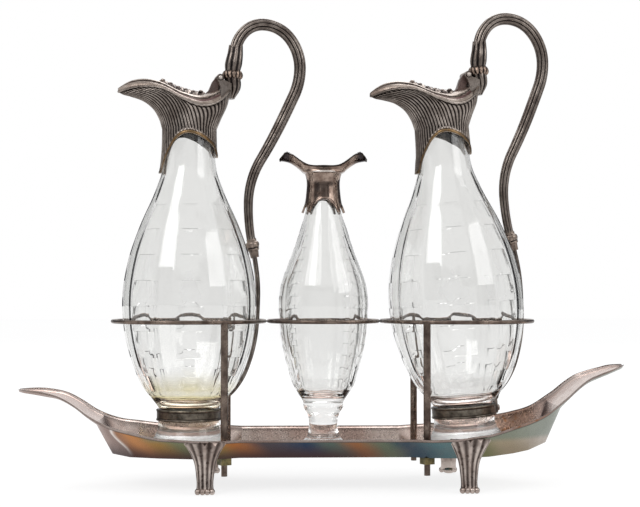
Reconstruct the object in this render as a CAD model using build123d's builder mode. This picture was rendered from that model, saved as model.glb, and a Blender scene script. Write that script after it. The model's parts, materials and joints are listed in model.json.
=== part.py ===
from build123d import *
import math
import os

os.makedirs("parts", exist_ok=True)

# All sizes are in millimetres. X runs along the tray, both jugs pour towards -X, the front of
# the set faces -Y, Z points up and is 0 where the four feet stand.

# Tray
floor_level = 22.0
tray_depth = 12.4
tray_wall = 1.2
mid_floor_half = 44.0
mid_rim_half = 53.5
lobe_floor_half = 52.0
lobe_rim_half = 62.5
mid_half_length = 56.0
lobe_place = 85.0
left_tip_place = 205.0
left_tip_rise = 29.9
right_tip_place = 205.0
right_tip_rise = 45.8
left_end_place = 140.5
left_end_rise = 7.4
right_end_place = 148.0
right_end_rise = 15.8
right_end_floor_rise = 7.2
bow_draw = 0.7

# Feet
foot_left_place = 78.0
foot_right_place = 92.0
foot_toe_width = 12.4
foot_toe_depth = 10.5
foot_ankle_width = 10.8
foot_ankle_depth = 8.0
foot_knee_width = 14.6
foot_fan_width = 27.0
foot_fan_depth = 5.0

# Gallery
ring_level = 109.9
ring_wire = 2.7
post_diameter = 4.8
stud_diameter = 4.0
stud_hole_clearance = 0.1
stud_end_level = 10.2
nut_width = 7.0
nut_height = 4.4
post_place = 66.0

# Jug, heights are measured from the underside of its glass foot
jug_place = 91.0
jug_foot_radius = 27.0
jug_foot_edge = 5.0
jug_waist_radius = 20.6
jug_waist_start = 18.0
jug_waist_length = 10.4
jug_belly_radius = 44.9
jug_belly_height = 98.5
jug_neck_radius = 17.2
jug_neck_start = 201.0
jug_neck_length = 27.0
jug_glass_wall = 2.4
jug_base_thickness = 31.0
jug_turn = 10.0
right_jug_lean = 4.4
seat_gap = 0.25

# Mount with the pouring lip
mount_wall = 1.2
mount_clearance = 0.15
mount_skirt_radius = 20.9
mount_skirt_drop = 15.5
arch_side_rise = 1.0
arch_back_rise = 9.0
arch_rise = 27.0
arch_shift = 3.0
mount_waist_rise = 15.6
lip_reach = 48.8
mouth_rise = 22.0
mouth_half_width = 21.0
mount_back = 28.5

# Lid and hinge
lid_wall = 1.2
lid_gap = 0.3
lid_back = 19.6
lid_crown = 5.2
hinge_reach = 20.3
hinge_rise = 18.7
hinge_root_rise = 7.2
knuckle_radius = 2.5
hinge_pin_radius = 1.0
hinge_clearance = 0.05
lid_knuckle_length = 6.2
lug_width = 3.4
knuckle_gap = 0.15

# Handle
grip_radius = 4.1
grip_root_rise = 19.8
grip_rise = 37.0
grip_reach = 76.6
strap_gap = 0.7
strap_thickness = 3.4
strap_width = 5.6
ferrule_rise = 38.5
ferrule_stand_off = 5.46
shoulder_curve_radius = 108.0
ferrule_radius = 4.3
ferrule_length = 7.0
calyx_radius = 6.6

# Waist band and its screw
band_thickness = 1.3
band_inset = 1.6
band_height = 7.6
tab_thickness = 1.8
tab_width = 6.0
screw_radius = 1.2
screw_head_radius = 2.3
screw_head_height = 1.5

# Centre flask, heights are measured from the underside of its glass foot
flask_foot_radius = 17.0
flask_stem_radius = 9.6
flask_knop_radius = 13.8
flask_belly_radius = 30.0
flask_belly_height = 99.0
flask_neck_radius = 10.5
flask_neck_start = 168.0
flask_neck_length = 18.0
flask_glass_wall = 2.2
flask_base_thickness = 36.0
flask_mount_wall = 1.1
flask_mount_drop = 8.0
flask_mount_rise = 23.0
flask_lip_reach = 29.8
flask_lip_half_width = 12.6
flask_lip_wall = 1.3
flask_lip_depth = 5.6
flask_horn_rise = 9.0
flask_arch_half = 9.6
flask_arch_rise = 8.8
flask_side_arch_turn = 24.0
flask_side_arch_half = 3.9
flask_side_arch_rise = 5.0

# Values that follow from the sizes above
rim_level = floor_level + tray_depth
left_tip_level = rim_level + left_tip_rise
right_tip_level = rim_level + right_tip_rise
right_end_floor = floor_level + right_end_floor_rise
jug_waist_end = jug_waist_start + jug_waist_length
jug_neck_end = jug_neck_start + jug_neck_length
mount_skirt_height = jug_neck_start - mount_skirt_drop
arch_height = mount_skirt_height + arch_rise
arch_side_height = mount_skirt_height + arch_side_rise
arch_back_height = mount_skirt_height + arch_back_rise
mount_waist_height = jug_neck_start + mount_waist_rise
lip_under_height = mount_waist_height + mouth_rise
rim_low_height = lip_under_height - 5.4
hinge_height = rim_low_height + hinge_rise
hinge_root_height = rim_low_height + hinge_root_rise
grip_root_height = rim_low_height + grip_root_rise
grip_top_height = grip_root_height + grip_rise
band_start = jug_waist_start + band_inset
band_end = band_start + band_height
ferrule_height = jug_belly_height + ferrule_rise
ferrule_reach = jug_belly_radius - ferrule_rise**2 / (2 * shoulder_curve_radius) + ferrule_stand_off
flask_neck_end = flask_neck_start + flask_neck_length
flask_mount_bottom = flask_neck_start - flask_mount_drop
flask_mount_top = flask_neck_start + flask_mount_rise
hinge_bridge_start = lid_back + 0.8
tray_top = floor_level + tray_wall
seat_level = tray_top + seat_gap
hinge_lug_end = lid_knuckle_length / 2 + knuckle_gap + lug_width
strap_centre = jug_belly_radius + strap_gap + strap_thickness / 2
big_ring_radius = strap_centre + strap_thickness / 2 + 0.95 + ring_wire / 2
small_ring_radius = jug_place - big_ring_radius - ring_wire
post_offset = math.sqrt(big_ring_radius**2 - (jug_place - post_place) ** 2)
right_raise = jug_foot_radius * math.sin(math.radians(right_jug_lean))
right_base_shift = (ring_level - seat_level) * math.tan(math.radians(right_jug_lean))
mount_inner = jug_neck_radius + mount_clearance
mount_outer = mount_inner + mount_wall
flask_mount_inner = flask_neck_radius + mount_clearance
flask_mount_outer = flask_mount_inner + flask_mount_wall

left_jug_location = Location((-jug_place, 0, seat_level)) * Location((0, 0, 0), (0, 0, jug_turn))
right_jug_location = (
    Location((jug_place + right_base_shift, 0, seat_level + right_raise))
    * Location((0, 0, 0), (0, -right_jug_lean, 0))
    * Location((0, 0, 0), (0, 0, jug_turn))
)
flask_location = Location((0, 0, seat_level))


def write(shape, name):
    """Label a finished piece and write it as one file."""
    shape.label = name
    export_step(shape, f"parts/{name}.step")


# Tray: each station is a place along X with the half width and level of its floor and its rim.
# The middle is straight, a short panel steps out to each lobe, the floor narrows to a steep bow
# plate at each end, and a shallow scoop that serves as a handle climbs from the top of the plate.
def left_stations():
    end_rim = rim_level + left_end_rise
    climb = left_tip_level - end_rim
    scoop = left_tip_place - left_end_place
    return [
        (-left_end_place - scoop, 1.2, left_tip_level - 1.9, 3.5, left_tip_level),
        (-left_end_place - scoop * 0.95, 6.5, left_tip_level - 2.3, 9.5, left_tip_level),
        (-left_end_place - scoop * 0.85, 11.5, left_tip_level - 2.9, 16.0, left_tip_level),
        (-left_end_place - scoop * 0.70, 15.5, end_rim + climb * 0.81, 22.0, end_rim + climb * 0.95),
        (-left_end_place - scoop * 0.54, 17.0, end_rim + climb * 0.71, 25.0, end_rim + climb * 0.83),
        (-left_end_place - scoop * 0.38, 18.0, end_rim + climb * 0.45, 27.0, end_rim + climb * 0.58),
        (-left_end_place - scoop * 0.25, 20.0, end_rim + climb * 0.17, 29.5, end_rim + climb * 0.32),
        (-left_end_place - scoop * 0.16, 23.5, end_rim + climb * 0.02, 32.0, end_rim + climb * 0.18),
        (-left_end_place, 19.0, floor_level + 0.5, 38.0, end_rim),
        (-left_end_place + 13, 37.0, floor_level, 47.0, rim_level + 4.8),
        (-lobe_place - 23, lobe_floor_half - 6.0, floor_level, lobe_rim_half - 5.5, rim_level + 1.6),
    ]


def middle_stations():
    return [
        (-lobe_place, lobe_floor_half, floor_level, lobe_rim_half, rim_level + 0.4),
        (-lobe_place + 17, lobe_floor_half - 2.0, floor_level, lobe_rim_half - 2.0, rim_level),
        (-mid_half_length, mid_floor_half, floor_level, mid_rim_half, rim_level),
        (mid_half_length, mid_floor_half, floor_level, mid_rim_half, rim_level),
        (lobe_place - 17, lobe_floor_half - 2.0, floor_level, lobe_rim_half - 2.0, rim_level + 0.2),
        (lobe_place, lobe_floor_half, floor_level, lobe_rim_half, rim_level + 0.9),
    ]


def right_stations():
    end_rim = rim_level + right_end_rise
    climb = right_tip_level - end_rim
    scoop = right_tip_place - right_end_place
    return [
        (lobe_place + 21, lobe_floor_half - 5.0, floor_level + 0.4, lobe_rim_half - 5.0, rim_level + 3.4),
        (right_end_place - 25, 40.5, floor_level + 1.9, 49.5, rim_level + 7.6),
        (right_end_place - 14, 34.5, floor_level + 3.4, 43.4, rim_level + 10.4),
        (right_end_place, 20.5, right_end_floor, 35.0, end_rim),
        (right_end_place + scoop * 0.165, 24.0, end_rim + climb * 0.06, 31.5, end_rim + climb * 0.22),
        (right_end_place + scoop * 0.25, 21.5, end_rim + climb * 0.20, 30.0, end_rim + climb * 0.34),
        (right_end_place + scoop * 0.38, 20.0, end_rim + climb * 0.42, 28.0, end_rim + climb * 0.55),
        (right_end_place + scoop * 0.50, 19.0, end_rim + climb * 0.59, 26.0, end_rim + climb * 0.71),
        (right_end_place + scoop * 0.63, 17.5, end_rim + climb * 0.70, 24.0, end_rim + climb * 0.81),
        (right_end_place + scoop * 0.78, 14.5, end_rim + climb * 0.80, 20.3, end_rim + climb * 0.90),
        (right_end_place + scoop * 0.90, 10.5, end_rim + climb * 0.88, 15.2, end_rim + climb * 0.97),
        (right_end_place + scoop * 0.965, 5.5, end_rim + climb * 0.91, 9.0, end_rim + climb * 0.99),
        (right_end_place + scoop, 1.2, right_tip_level - 1.9, 4.0, right_tip_level),
    ]


stations = left_stations() + middle_stations() + right_stations()


def tray_section(station, inset, lift):
    """Face across the tray: floor, two sloping sides and an open top, inset by a wall."""
    place, floor_half, floor, rim_half, rim = station
    side = (rim_half - floor_half) / (rim - floor)
    low = floor + inset
    high = rim + lift
    half_low = max(floor_half + side * inset - inset * 1.15, 0.4)
    half_high = max(rim_half + side * lift - inset * 1.15, 0.8)
    with BuildSketch(Plane.YZ.offset(place)) as face:
        with BuildLine():
            Polyline((-half_low, low), (half_low, low), (half_high, high), (-half_high, high), close=True)
        make_face()
    return face.sketch


def hull(inset, lift, chosen):
    """Solid through the stations, with flat panels between them."""
    sections = [tray_section(station, inset, lift) for station in chosen]
    with BuildPart() as body:
        loft(sections, ruled=True)
    return body.part


def hollow_stations():
    """The stations of the hollow: each tip drawn in by a wall, the steep bows by a little less."""
    drawn = []
    for number, (place, *rest) in enumerate(stations):
        if number in (0, len(stations) - 1):
            place -= math.copysign(tray_wall, place)
        elif abs(place) > lobe_place + 25:
            place -= math.copysign(bow_draw, place)
        drawn.append((place, *rest))
    return drawn


def post_places():
    """Where the four gallery posts stand, by name."""
    return {
        "front_left": (-post_place, -post_offset),
        "front_right": (post_place, -post_offset),
        "rear_left": (-post_place, post_offset),
        "rear_right": (post_place, post_offset),
    }


tray_outside = hull(0, 0, stations)
tray_hollow = hull(tray_wall, 3.0, hollow_stations())


def make_tray():
    with BuildPart() as tray:
        add(tray_outside)
        add(tray_hollow, mode=Mode.SUBTRACT)
        with BuildSketch(Plane.XY.offset(floor_level - 1)):
            with Locations(*post_places().values()):
                Circle(stud_diameter / 2 + stud_hole_clearance)
        extrude(amount=tray_wall + 4, mode=Mode.SUBTRACT)
    write(tray.part, "tray")


def rim_half_at(place):
    """Half width and level of the rim beside a place on X, between two stations."""
    for before, after in zip(stations, stations[1:]):
        if before[0] <= place <= after[0]:
            share = (place - before[0]) / (after[0] - before[0])
            return before[3] + share * (after[3] - before[3]), before[4] + share * (after[4] - before[4])
    return mid_rim_half, rim_level


def make_foot(name, place, side):
    """Cast foot: toe, slim ankle, knee, and a fan that lies against the tray wall."""
    rim_half, rim = rim_half_at(place)
    outer = rim_half + 0.6
    levels = [
        (0.0, foot_toe_width - 1.6, foot_toe_depth - 1.6, outer - 5.6),
        (2.4, foot_toe_width, foot_toe_depth, outer - 5.6),
        (5.4, foot_ankle_width, foot_ankle_depth, outer - 6.0),
        (12.0, foot_ankle_width + 0.8, foot_ankle_depth, outer - 6.6),
        (floor_level - 1.0, foot_knee_width, foot_ankle_depth + 1.0, outer - 6.2),
        (floor_level + 6.4, foot_knee_width + 6.4, foot_fan_depth + 3.0, outer - 3.0),
        (rim - 1.0, foot_fan_width, foot_fan_depth, outer - 1.5),
    ]
    with BuildPart() as foot:
        for level, width, depth, reach in levels:
            with BuildSketch(Plane((place, side * reach, level))):
                Ellipse(width / 2, depth / 2)
        loft()
        add(tray_outside, mode=Mode.SUBTRACT)
        add(tray_hollow, mode=Mode.SUBTRACT)
    write(foot.part.solids().sort_by(SortBy.VOLUME)[-1], name)


def make_ring(name, place, radius):
    with BuildPart() as ring:
        with BuildSketch(Plane.XZ):
            with Locations((place + radius, ring_level)):
                Circle(ring_wire / 2)
        revolve(axis=Axis((place, 0, 0), (0, 0, 1)))
    write(ring.part, name)
    return ring.part


def make_gallery():
    """Three wire rings, four posts under the large rings and a nut under each post."""
    left_ring = make_ring("ring_left", -jug_place, big_ring_radius)
    right_ring = make_ring("ring_right", jug_place, big_ring_radius)
    make_ring("ring_centre", 0, small_ring_radius)
    for name, (x, y) in post_places().items():
        with BuildPart() as post:
            with BuildSketch(Plane.XY.offset(tray_top)):
                with Locations((x, y)):
                    Circle(post_diameter / 2)
            extrude(amount=ring_level - tray_top)
            with BuildSketch(Plane.XY.offset(stud_end_level)):
                with Locations((x, y)):
                    Circle(stud_diameter / 2)
            extrude(amount=tray_top - stud_end_level)
            add(left_ring if x < 0 else right_ring, mode=Mode.SUBTRACT)
        write(post.part, f"post_{name}")
    with BuildPart() as nuts:
        with BuildSketch(Plane.XY.offset(floor_level - nut_height)):
            with Locations(*post_places().values()):
                Rectangle(nut_width, nut_width, rotation=28)
                Circle(stud_diameter / 2, mode=Mode.SUBTRACT)
        extrude(amount=nut_height)
    write(nuts.part, "gallery_nuts")


# Jugs. Local X points to the handle and the lip is at -X. A jug is made once in its own frame
# and then set down twice.
def jug_outline():
    """Heights and radii of the body between the waist and the neck."""
    rise = jug_belly_height - jug_waist_end
    swell = jug_belly_radius - jug_waist_radius
    fall = jug_neck_start - jug_belly_height
    drop = jug_belly_radius - jug_neck_radius
    below = [(0.2, 0.43), (0.49, 0.774)]
    above = [(0.29, 0.852), (0.525, 0.555), (0.735, 0.215), (0.88, 0.05)]
    lower = [(jug_waist_end + rise * a, jug_waist_radius + swell * b) for a, b in below]
    upper = [(jug_belly_height + fall * a, jug_neck_radius + drop * b) for a, b in above]
    belly = (jug_belly_height, jug_belly_radius)
    return [(jug_waist_end, jug_waist_radius), *lower, belly, *upper, (jug_neck_start, jug_neck_radius)]


def jug_glass():
    outline = jug_outline()
    points = [(radius, height) for height, radius in outline]
    floor = jug_base_thickness
    hollow = [(radius - jug_glass_wall, height) for height, radius in outline if height > floor + 8]
    inner_neck = jug_neck_radius - jug_glass_wall
    edge = (jug_foot_radius, jug_foot_edge)
    waist = (jug_waist_radius, jug_waist_start)
    with BuildPart() as glass:
        with BuildSketch(Plane.XZ):
            with BuildLine():
                Polyline((0, 0), (jug_foot_radius - 1.0, 0), (jug_foot_radius, 1.5), edge)
                Spline(edge, (jug_foot_radius - 3.4, jug_foot_edge + 3.2), waist, tangents=((-0.6, 1), (0, 1)))
                Line(waist, points[0])
                Spline(*points, tangents=((0.55, 1), (0, 1)))
                Polyline(points[-1], (jug_neck_radius, jug_neck_end), (0, jug_neck_end), (0, 0))
            make_face()
            with BuildLine():
                Line((0, floor), (jug_waist_radius - 6.0, floor))
                Spline((jug_waist_radius - 6.0, floor), *hollow, tangents=((1, 0.3), (0, 1)))
                Polyline((inner_neck, jug_neck_start), (inner_neck, jug_neck_end + 1),
                         (0, jug_neck_end + 1), (0, floor))
            make_face(mode=Mode.SUBTRACT)
        revolve(axis=Axis.Z)
    return glass.part


def glass_envelope():
    """Solid of the body of the glass, from below its waist to its neck."""
    points = [(radius, height) for height, radius in jug_outline()]
    low = band_start - 5
    with BuildPart() as envelope:
        with BuildSketch(Plane.XZ):
            with BuildLine():
                Spline(*points, tangents=((0.55, 1), (0, 1)))
                Polyline(points[-1], (0, points[-1][1]), (0, low), (points[0][0], low), points[0])
            make_face()
        revolve(axis=Axis.Z)
    return envelope.part


def mouth_ring(height, front, back, half_width, inset):
    """Closed outline across the mount: round behind, drawn out to a narrow lip in front."""
    narrowing = min(max(front / mount_outer - 1, 0) * 0.47, 0.8)
    count = 24
    points = []
    for step in range(count):
        angle = 2 * math.pi * step / count
        along = math.cos(angle)
        across = (half_width - inset) * math.sin(angle)
        if along >= 0:
            points.append(((back - inset) * along, across))
        else:
            points.append(((front - inset) * along, across * (1 - narrowing * along * along)))
    with BuildSketch(Plane.XY.offset(height)) as ring:
        with BuildLine():
            Spline(*points, periodic=True)
        make_face()
    return ring.sketch


def mouth_rings(inset):
    """Outlines of the mount from its waist up past its rim, drawn in by an inset."""
    low = mount_waist_height
    rise = lip_under_height - low
    reach = lip_reach - mount_outer
    widen = mouth_half_width - mount_outer
    back = mount_back - mount_outer
    shares = [(0, 0, 0, 0), (0.3, 0.07, 0.33, 0.15), (0.6, 0.21, 0.7, 0.4), (0.82, 0.43, 0.85, 0.65),
              (0.94, 0.7, 0.92, 0.85), (1.0, 0.88, 0.96, 0.92), (1.09, 1.0, 1.0, 1.0), (1.8, 1.02, 1.02, 1.0)]
    return [
        mouth_ring(low + rise * up, mount_outer + reach * front, mount_outer + back * rear,
                   mount_outer + widen * wide, inset)
        for up, front, rear, wide in shares
    ]


def mount_outside():
    """Solid of the whole mount: the skirt that flares over the glass, the waist and the mouth."""
    flare = mount_skirt_radius - mount_outer
    rise = mount_waist_height - mount_skirt_height
    rings = [
        mouth_ring(mount_skirt_height + rise * up, *[mount_outer + flare * share] * 3, 0)
        for up, share in [(0, 1), (0.17, 0.6), (0.42, 0.25), (0.72, 0.05)]
    ]
    rings += mouth_rings(0)
    with BuildPart() as solid:
        loft(rings)
    return solid.part


def mount_inside():
    """Hollow of the mouth above the waist, a little wider than the bore for the glass."""
    rings = mouth_rings(mount_wall - 0.1)
    with BuildPart() as solid:
        loft(rings)
    return solid.part


def glass_bore():
    """Room in the mount for the shoulder and the neck of the glass."""
    shoulder = jug_neck_radius + (jug_belly_radius - jug_neck_radius) * 0.05 + mount_clearance
    shoulder_height = jug_belly_height + (jug_neck_start - jug_belly_height) * 0.88
    with BuildPart() as bore:
        with BuildSketch(Plane.XZ):
            with BuildLine():
                Polyline((0, shoulder_height - 15), (shoulder + 4.5, shoulder_height - 15),
                         (shoulder, shoulder_height), (mount_inner, jug_neck_start),
                         (mount_inner, jug_neck_end), (0, jug_neck_end), close=True)
            make_face()
        revolve(axis=Axis.Z)
    return bore.part


def rim_points():
    """The rim seen from the side: high over the lip, low in the middle, high at the hinge."""
    low = rim_low_height
    return [
        (-lip_reach - 4, low + 6.4), (-lip_reach, low + 8.0), (-35.0, low + 11.2), (-23.0, low + 10.2),
        (-5.0, low + 2.7), (6.0, low), (13.0, low + 1.2), (19.0, low + 4.0), (mount_back, low + 12.5),
        (mount_back + 6, low + 20.0),
    ]


def below_rim(offset):
    """Everything under the rim line, moved up by an offset."""
    points = [(x, z + offset) for x, z in rim_points()]
    deep = mount_skirt_height - 20
    with BuildPart() as block:
        with BuildSketch(Plane.XZ):
            with BuildLine():
                Spline(*points)
                Polyline(points[-1], (points[-1][0], deep), (points[0][0], deep), points[0])
            make_face()
        extrude(amount=mouth_half_width * 2, both=True)
    return block.part


def arch_cutter():
    """Arched opening through the skirt, front and back, lower towards the lip than the handle."""
    half = mount_skirt_radius - 0.6
    low = mount_skirt_height - 5
    crown = -arch_shift
    with BuildPart() as cutter:
        with BuildSketch(Plane.XZ):
            with BuildLine():
                Spline((-half, arch_side_height), (crown - (half + crown) * 0.62, arch_height - 7.6),
                       (crown, arch_height), (crown + (half - crown) * 0.62, arch_height - 5.6),
                       (half, arch_back_height), tangents=((0.3, 1), (0.3, -1)))
                Polyline((half, arch_back_height), (half + 4, arch_back_height), (half + 4, low), (-half, low),
                         (-half, arch_side_height))
            make_face()
        extrude(amount=mount_skirt_radius * 2, both=True)
    return cutter.part


def hinge_lugs():
    """Two round eyes on arms that root in the back of the mount."""
    start = lid_knuckle_length / 2 + knuckle_gap
    with BuildPart() as lugs:
        for side in (1, -1):
            with BuildSketch(Plane.XZ.offset(side * (start + lug_width / 2))):
                with BuildLine():
                    Polyline((hinge_reach - 0.6, hinge_height - knuckle_radius + 0.3),
                             (mount_back - 4.4, hinge_root_height), (mount_back - 0.6, hinge_root_height),
                             (mount_back - 0.4, hinge_height - 4),
                             (hinge_reach + 1, hinge_height + knuckle_radius - 0.2), close=True)
                make_face()
                with Locations((hinge_reach, hinge_height)):
                    Circle(knuckle_radius)
            extrude(amount=lug_width / 2, both=True)
    return lugs.part


def hinge_bore(radius):
    """Round bar along the hinge axis, longer than the hinge."""
    with BuildPart() as bore:
        with BuildSketch(Plane.XZ):
            with Locations((hinge_reach, hinge_height)):
                Circle(radius)
        extrude(amount=hinge_lug_end + 5, both=True)
    return bore.part


def mount():
    size = 4 * lip_reach
    front = Location((hinge_bridge_start - size / 2, 0, jug_neck_end)) * Box(size, size, size)
    cavity = mount_inside() & (front + below_rim(-mount_wall))
    with BuildPart() as shell:
        add(mount_outside())
        add(below_rim(0), mode=Mode.INTERSECT)
        add(cavity, mode=Mode.SUBTRACT)
        add(glass_bore(), mode=Mode.SUBTRACT)
        add(arch_cutter(), mode=Mode.SUBTRACT)
        add(hinge_lugs())
        add(hinge_bore(hinge_pin_radius), mode=Mode.SUBTRACT)
    return shell.part


def hinge_pin():
    with BuildPart() as pin:
        with BuildSketch(Plane.XZ):
            with Locations((hinge_reach, hinge_height)):
                Circle(hinge_pin_radius)
        extrude(amount=hinge_lug_end, both=True)
        for side in (1, -1):
            with BuildSketch(Plane.XZ.offset(side * (hinge_lug_end + 0.3))):
                with Locations((hinge_reach, hinge_height)):
                    Circle(hinge_pin_radius + 0.6)
            extrude(amount=0.3, both=True)
    return pin.part


def lid_stations():
    """Places along the lid with its half width, its underside and its crown."""
    low = rim_low_height
    return [
        (-lip_reach + 0.4, 1.6, low + 8.1, 1.6), (-44.0, 4.6, low + 9.7, 3.2),
        (-35.0, 9.8, low + 11.2, lid_crown - 0.4), (-23.0, 15.0, low + 10.2, lid_crown),
        (-5.0, 19.8, low + 2.7, lid_crown + 0.8), (6.0, 20.2, low, lid_crown + 1.8),
        (13.0, 18.2, low + 1.2, lid_crown + 2.4), (lid_back, 14.2, low + 4.3, lid_crown + 1.6),
    ]


def lid_section(station, inset, sink):
    """Face across the lid: a flat foot, sunk below the rim line, and a domed top."""
    place, half, under, crown = station
    wide = max(half - inset, 0.5)
    top = under + max(crown - inset, 0.5)
    with BuildSketch(Plane.YZ.offset(place)) as face:
        with BuildLine():
            Polyline((-wide, under), (-wide, under - sink), (wide, under - sink), (wide, under))
            ThreePointArc((wide, under), (0, top), (-wide, under))
        make_face()
    return face.sketch


def lid_dome(inset, sink):
    """Solid of the lid through its stations; the inset also draws in both ends."""
    chosen = lid_stations()
    first, last = chosen[0], chosen[-1]
    chosen[0] = (first[0] + inset, *first[1:])
    chosen[-1] = (last[0] - inset, *last[1:])
    sections = [lid_section(station, inset, sink) for station in chosen]
    with BuildPart() as dome:
        loft(sections)
    return dome.part


def lid():
    dome = lid_dome(0, 1.5)
    hollow = lid_dome(lid_wall, 2.5)
    under = below_rim(lid_gap)
    tail_root = rim_low_height + 6.7
    with BuildPart() as cover:
        add(dome)
        add(hollow, mode=Mode.SUBTRACT)
        add(under, mode=Mode.SUBTRACT)
        with BuildSketch(Plane.XZ):
            with BuildLine():
                Polyline((9.0, tail_root), (12.6, tail_root + 3.0), (hinge_reach - 4.9, hinge_height - 2.6),
                         (hinge_reach - 1.6, hinge_height + knuckle_radius - 0.7), (hinge_reach, hinge_height),
                         (lid_back - 0.4, tail_root + 2.6), (lid_back - 2, tail_root + 1.0), close=True)
            make_face()
            with Locations((hinge_reach, hinge_height)):
                Circle(knuckle_radius)
        extrude(amount=lid_knuckle_length / 2, both=True)
        add(hinge_bore(hinge_pin_radius + hinge_clearance), mode=Mode.SUBTRACT)
    return cover.part


def lid_ornament():
    """Cast leaf that lies along the crown of the lid."""
    low = rim_low_height + lid_crown
    outline = [(-21.0, low + 9.6), (-12.0, low + 6.2), (-3.0, low + 3.0), (6.0, low + 1.9), (11.0, low + 3.2)]
    below = [(x, z - 1.6) for x, z in outline]
    above = [(x, z + 2.3) for x, z in reversed(outline)]
    dome = lid_dome(0, 1.5)
    with BuildPart() as leaf:
        with BuildSketch(Plane.XZ):
            with BuildLine():
                Spline(*below)
                Line(below[-1], above[0])
                Spline(*above)
                Line(above[-1], below[0])
            make_face()
        extrude(amount=6.5, both=True)
        with BuildSketch(Plane.XY.offset(low - lid_crown)):
            with Locations((-5.0, 0)):
                Ellipse(15.5, 5.6)
        extrude(amount=40, mode=Mode.INTERSECT)
        add(dome, mode=Mode.SUBTRACT)
    return leaf.part.solids().sort_by(SortBy.VOLUME)[-1]


def biarc_joint(start, start_angle, end, end_angle):
    """Point where two tangent arcs meet between two points with given directions."""
    tx0, tz0 = math.cos(math.radians(start_angle)), math.sin(math.radians(start_angle))
    tx1, tz1 = math.cos(math.radians(end_angle)), math.sin(math.radians(end_angle))
    vx, vz = end[0] - start[0], end[1] - start[1]
    along = vx * (tx0 + tx1) + vz * (tz0 + tz1)
    spread = 1 - (tx0 * tx1 + tz0 * tz1)
    square = vx * vx + vz * vz
    if spread < 1e-6:
        length = square / (2 * along)
    else:
        length = (math.sqrt(along * along + 2 * spread * square) - along) / (2 * spread)
    return (
        (start[0] + end[0] + length * (tx0 - tx1)) / 2,
        (start[1] + end[1] + length * (tz0 - tz1)) / 2,
    )


def arc_path(route):
    """Wire of tangent arcs through points with directions, in the jug's own plane."""
    with BuildLine(Plane.XZ) as line:
        for (x0, z0, a0), (x1, z1, a1) in zip(route, route[1:]):
            joint = biarc_joint((x0, z0), a0, (x1, z1), a1)
            direction = (math.cos(math.radians(a0)), math.sin(math.radians(a0)))
            first = TangentArc((x0, z0), joint, tangent=direction)
            TangentArc(joint, (x1, z1), tangent=first % 1)
    return line.wire()


def bar_along(route, sections):
    """Bar whose half depth and half width change along a route."""
    path = arc_path(route)
    faces = []
    for share, half_depth, half_width in sections:
        place = Plane(origin=path @ share, x_dir=(0, 1, 0), z_dir=path % share)
        with BuildSketch(place) as face:
            Ellipse(half_width, half_depth)
        faces.append(face.sketch)
    with BuildPart() as bar:
        sweep(sections=faces, path=path, multisection=True)
    return bar.part


def grip_route():
    top = grip_top_height
    return [
        (mount_back + 0.9, grip_root_height, 86), (mount_back + 3.1, top - 17.5, 80), (50.0, top, 2),
        (grip_reach, top - 30.0, -91), (grip_reach - 12.4, top - 65.6, -116),
        (ferrule_reach - 2.9, ferrule_height + 30.0, -91), (ferrule_reach, ferrule_height, -78),
    ]


def strap_route():
    belly = jug_belly_height
    return [
        (ferrule_reach, ferrule_height, -78), (strap_centre, belly + 4.5, -91),
        (strap_centre - 3.5, belly - 31.5, -104), (strap_centre - 14.5, belly - 56.7, -127),
        (jug_waist_radius + band_thickness + tab_thickness, band_end + 2.4, -99),
    ]


def handle_grip():
    thin = grip_radius - 1.1
    sections = [(0, grip_radius, grip_radius), (0.5, grip_radius, grip_radius), (1, thin, thin)]
    return bar_along(grip_route(), sections)


def handle_calyx(grip):
    """Leafy socket at the back of the mount from which the grip springs."""
    root = grip_root_height
    back = mount_back
    levels = [
        (root - 15.0, back - 0.4, 2.6, 4.2), (root - 8.0, back + 1.6, 4.8, 5.4),
        (root, back + 0.9, calyx_radius - 0.6, calyx_radius - 0.2),
        (root + 9.0, back + 1.5, calyx_radius, calyx_radius - 0.4),
        (root + 20.0, back + 3.3, grip_radius + 0.9, grip_radius + 0.9),
    ]
    with BuildPart() as calyx:
        for level, centre, half_depth, half_width in levels:
            with BuildSketch(Plane((centre, 0, level))):
                Ellipse(half_depth, half_width)
        loft()
        add(grip, mode=Mode.SUBTRACT)
        add(mount_outside(), mode=Mode.SUBTRACT)
        add(hinge_lugs(), mode=Mode.SUBTRACT)
        add(hinge_bore(knuckle_radius + 0.6), mode=Mode.SUBTRACT)
    return calyx.part.solids().sort_by(SortBy.VOLUME)[-1]


def handle_strap():
    """Thin strap that follows the glass down and ends in a tab on the waist band."""
    middle = (band_start + band_end) / 2
    tab_inner = jug_waist_radius + band_thickness
    sections = [(0, strap_thickness / 2, strap_width / 2), (1, strap_thickness / 2 - 0.5, strap_width / 2)]
    bar = bar_along(strap_route(), sections)
    with BuildPart() as strap:
        with BuildSketch(Plane.XY.offset(band_start + 0.4)):
            with Locations((tab_inner + tab_thickness / 2, 0)):
                Rectangle(tab_thickness + 1.4, tab_width)
            Circle(tab_inner, mode=Mode.SUBTRACT)
        extrude(amount=band_end + 3.4 - band_start)
        add(bar)
        with BuildSketch(Plane.YZ):
            with Locations((0, middle)):
                Circle(screw_radius)
        extrude(amount=jug_belly_radius, mode=Mode.SUBTRACT)
        with BuildSketch(Plane.YZ.offset(tab_inner + tab_thickness)):
            with Locations((0, middle)):
                Circle(screw_head_radius)
        extrude(amount=8, mode=Mode.SUBTRACT)
        add(glass_envelope(), mode=Mode.SUBTRACT)
    return strap.part.solids().sort_by(SortBy.VOLUME)[-1]


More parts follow.
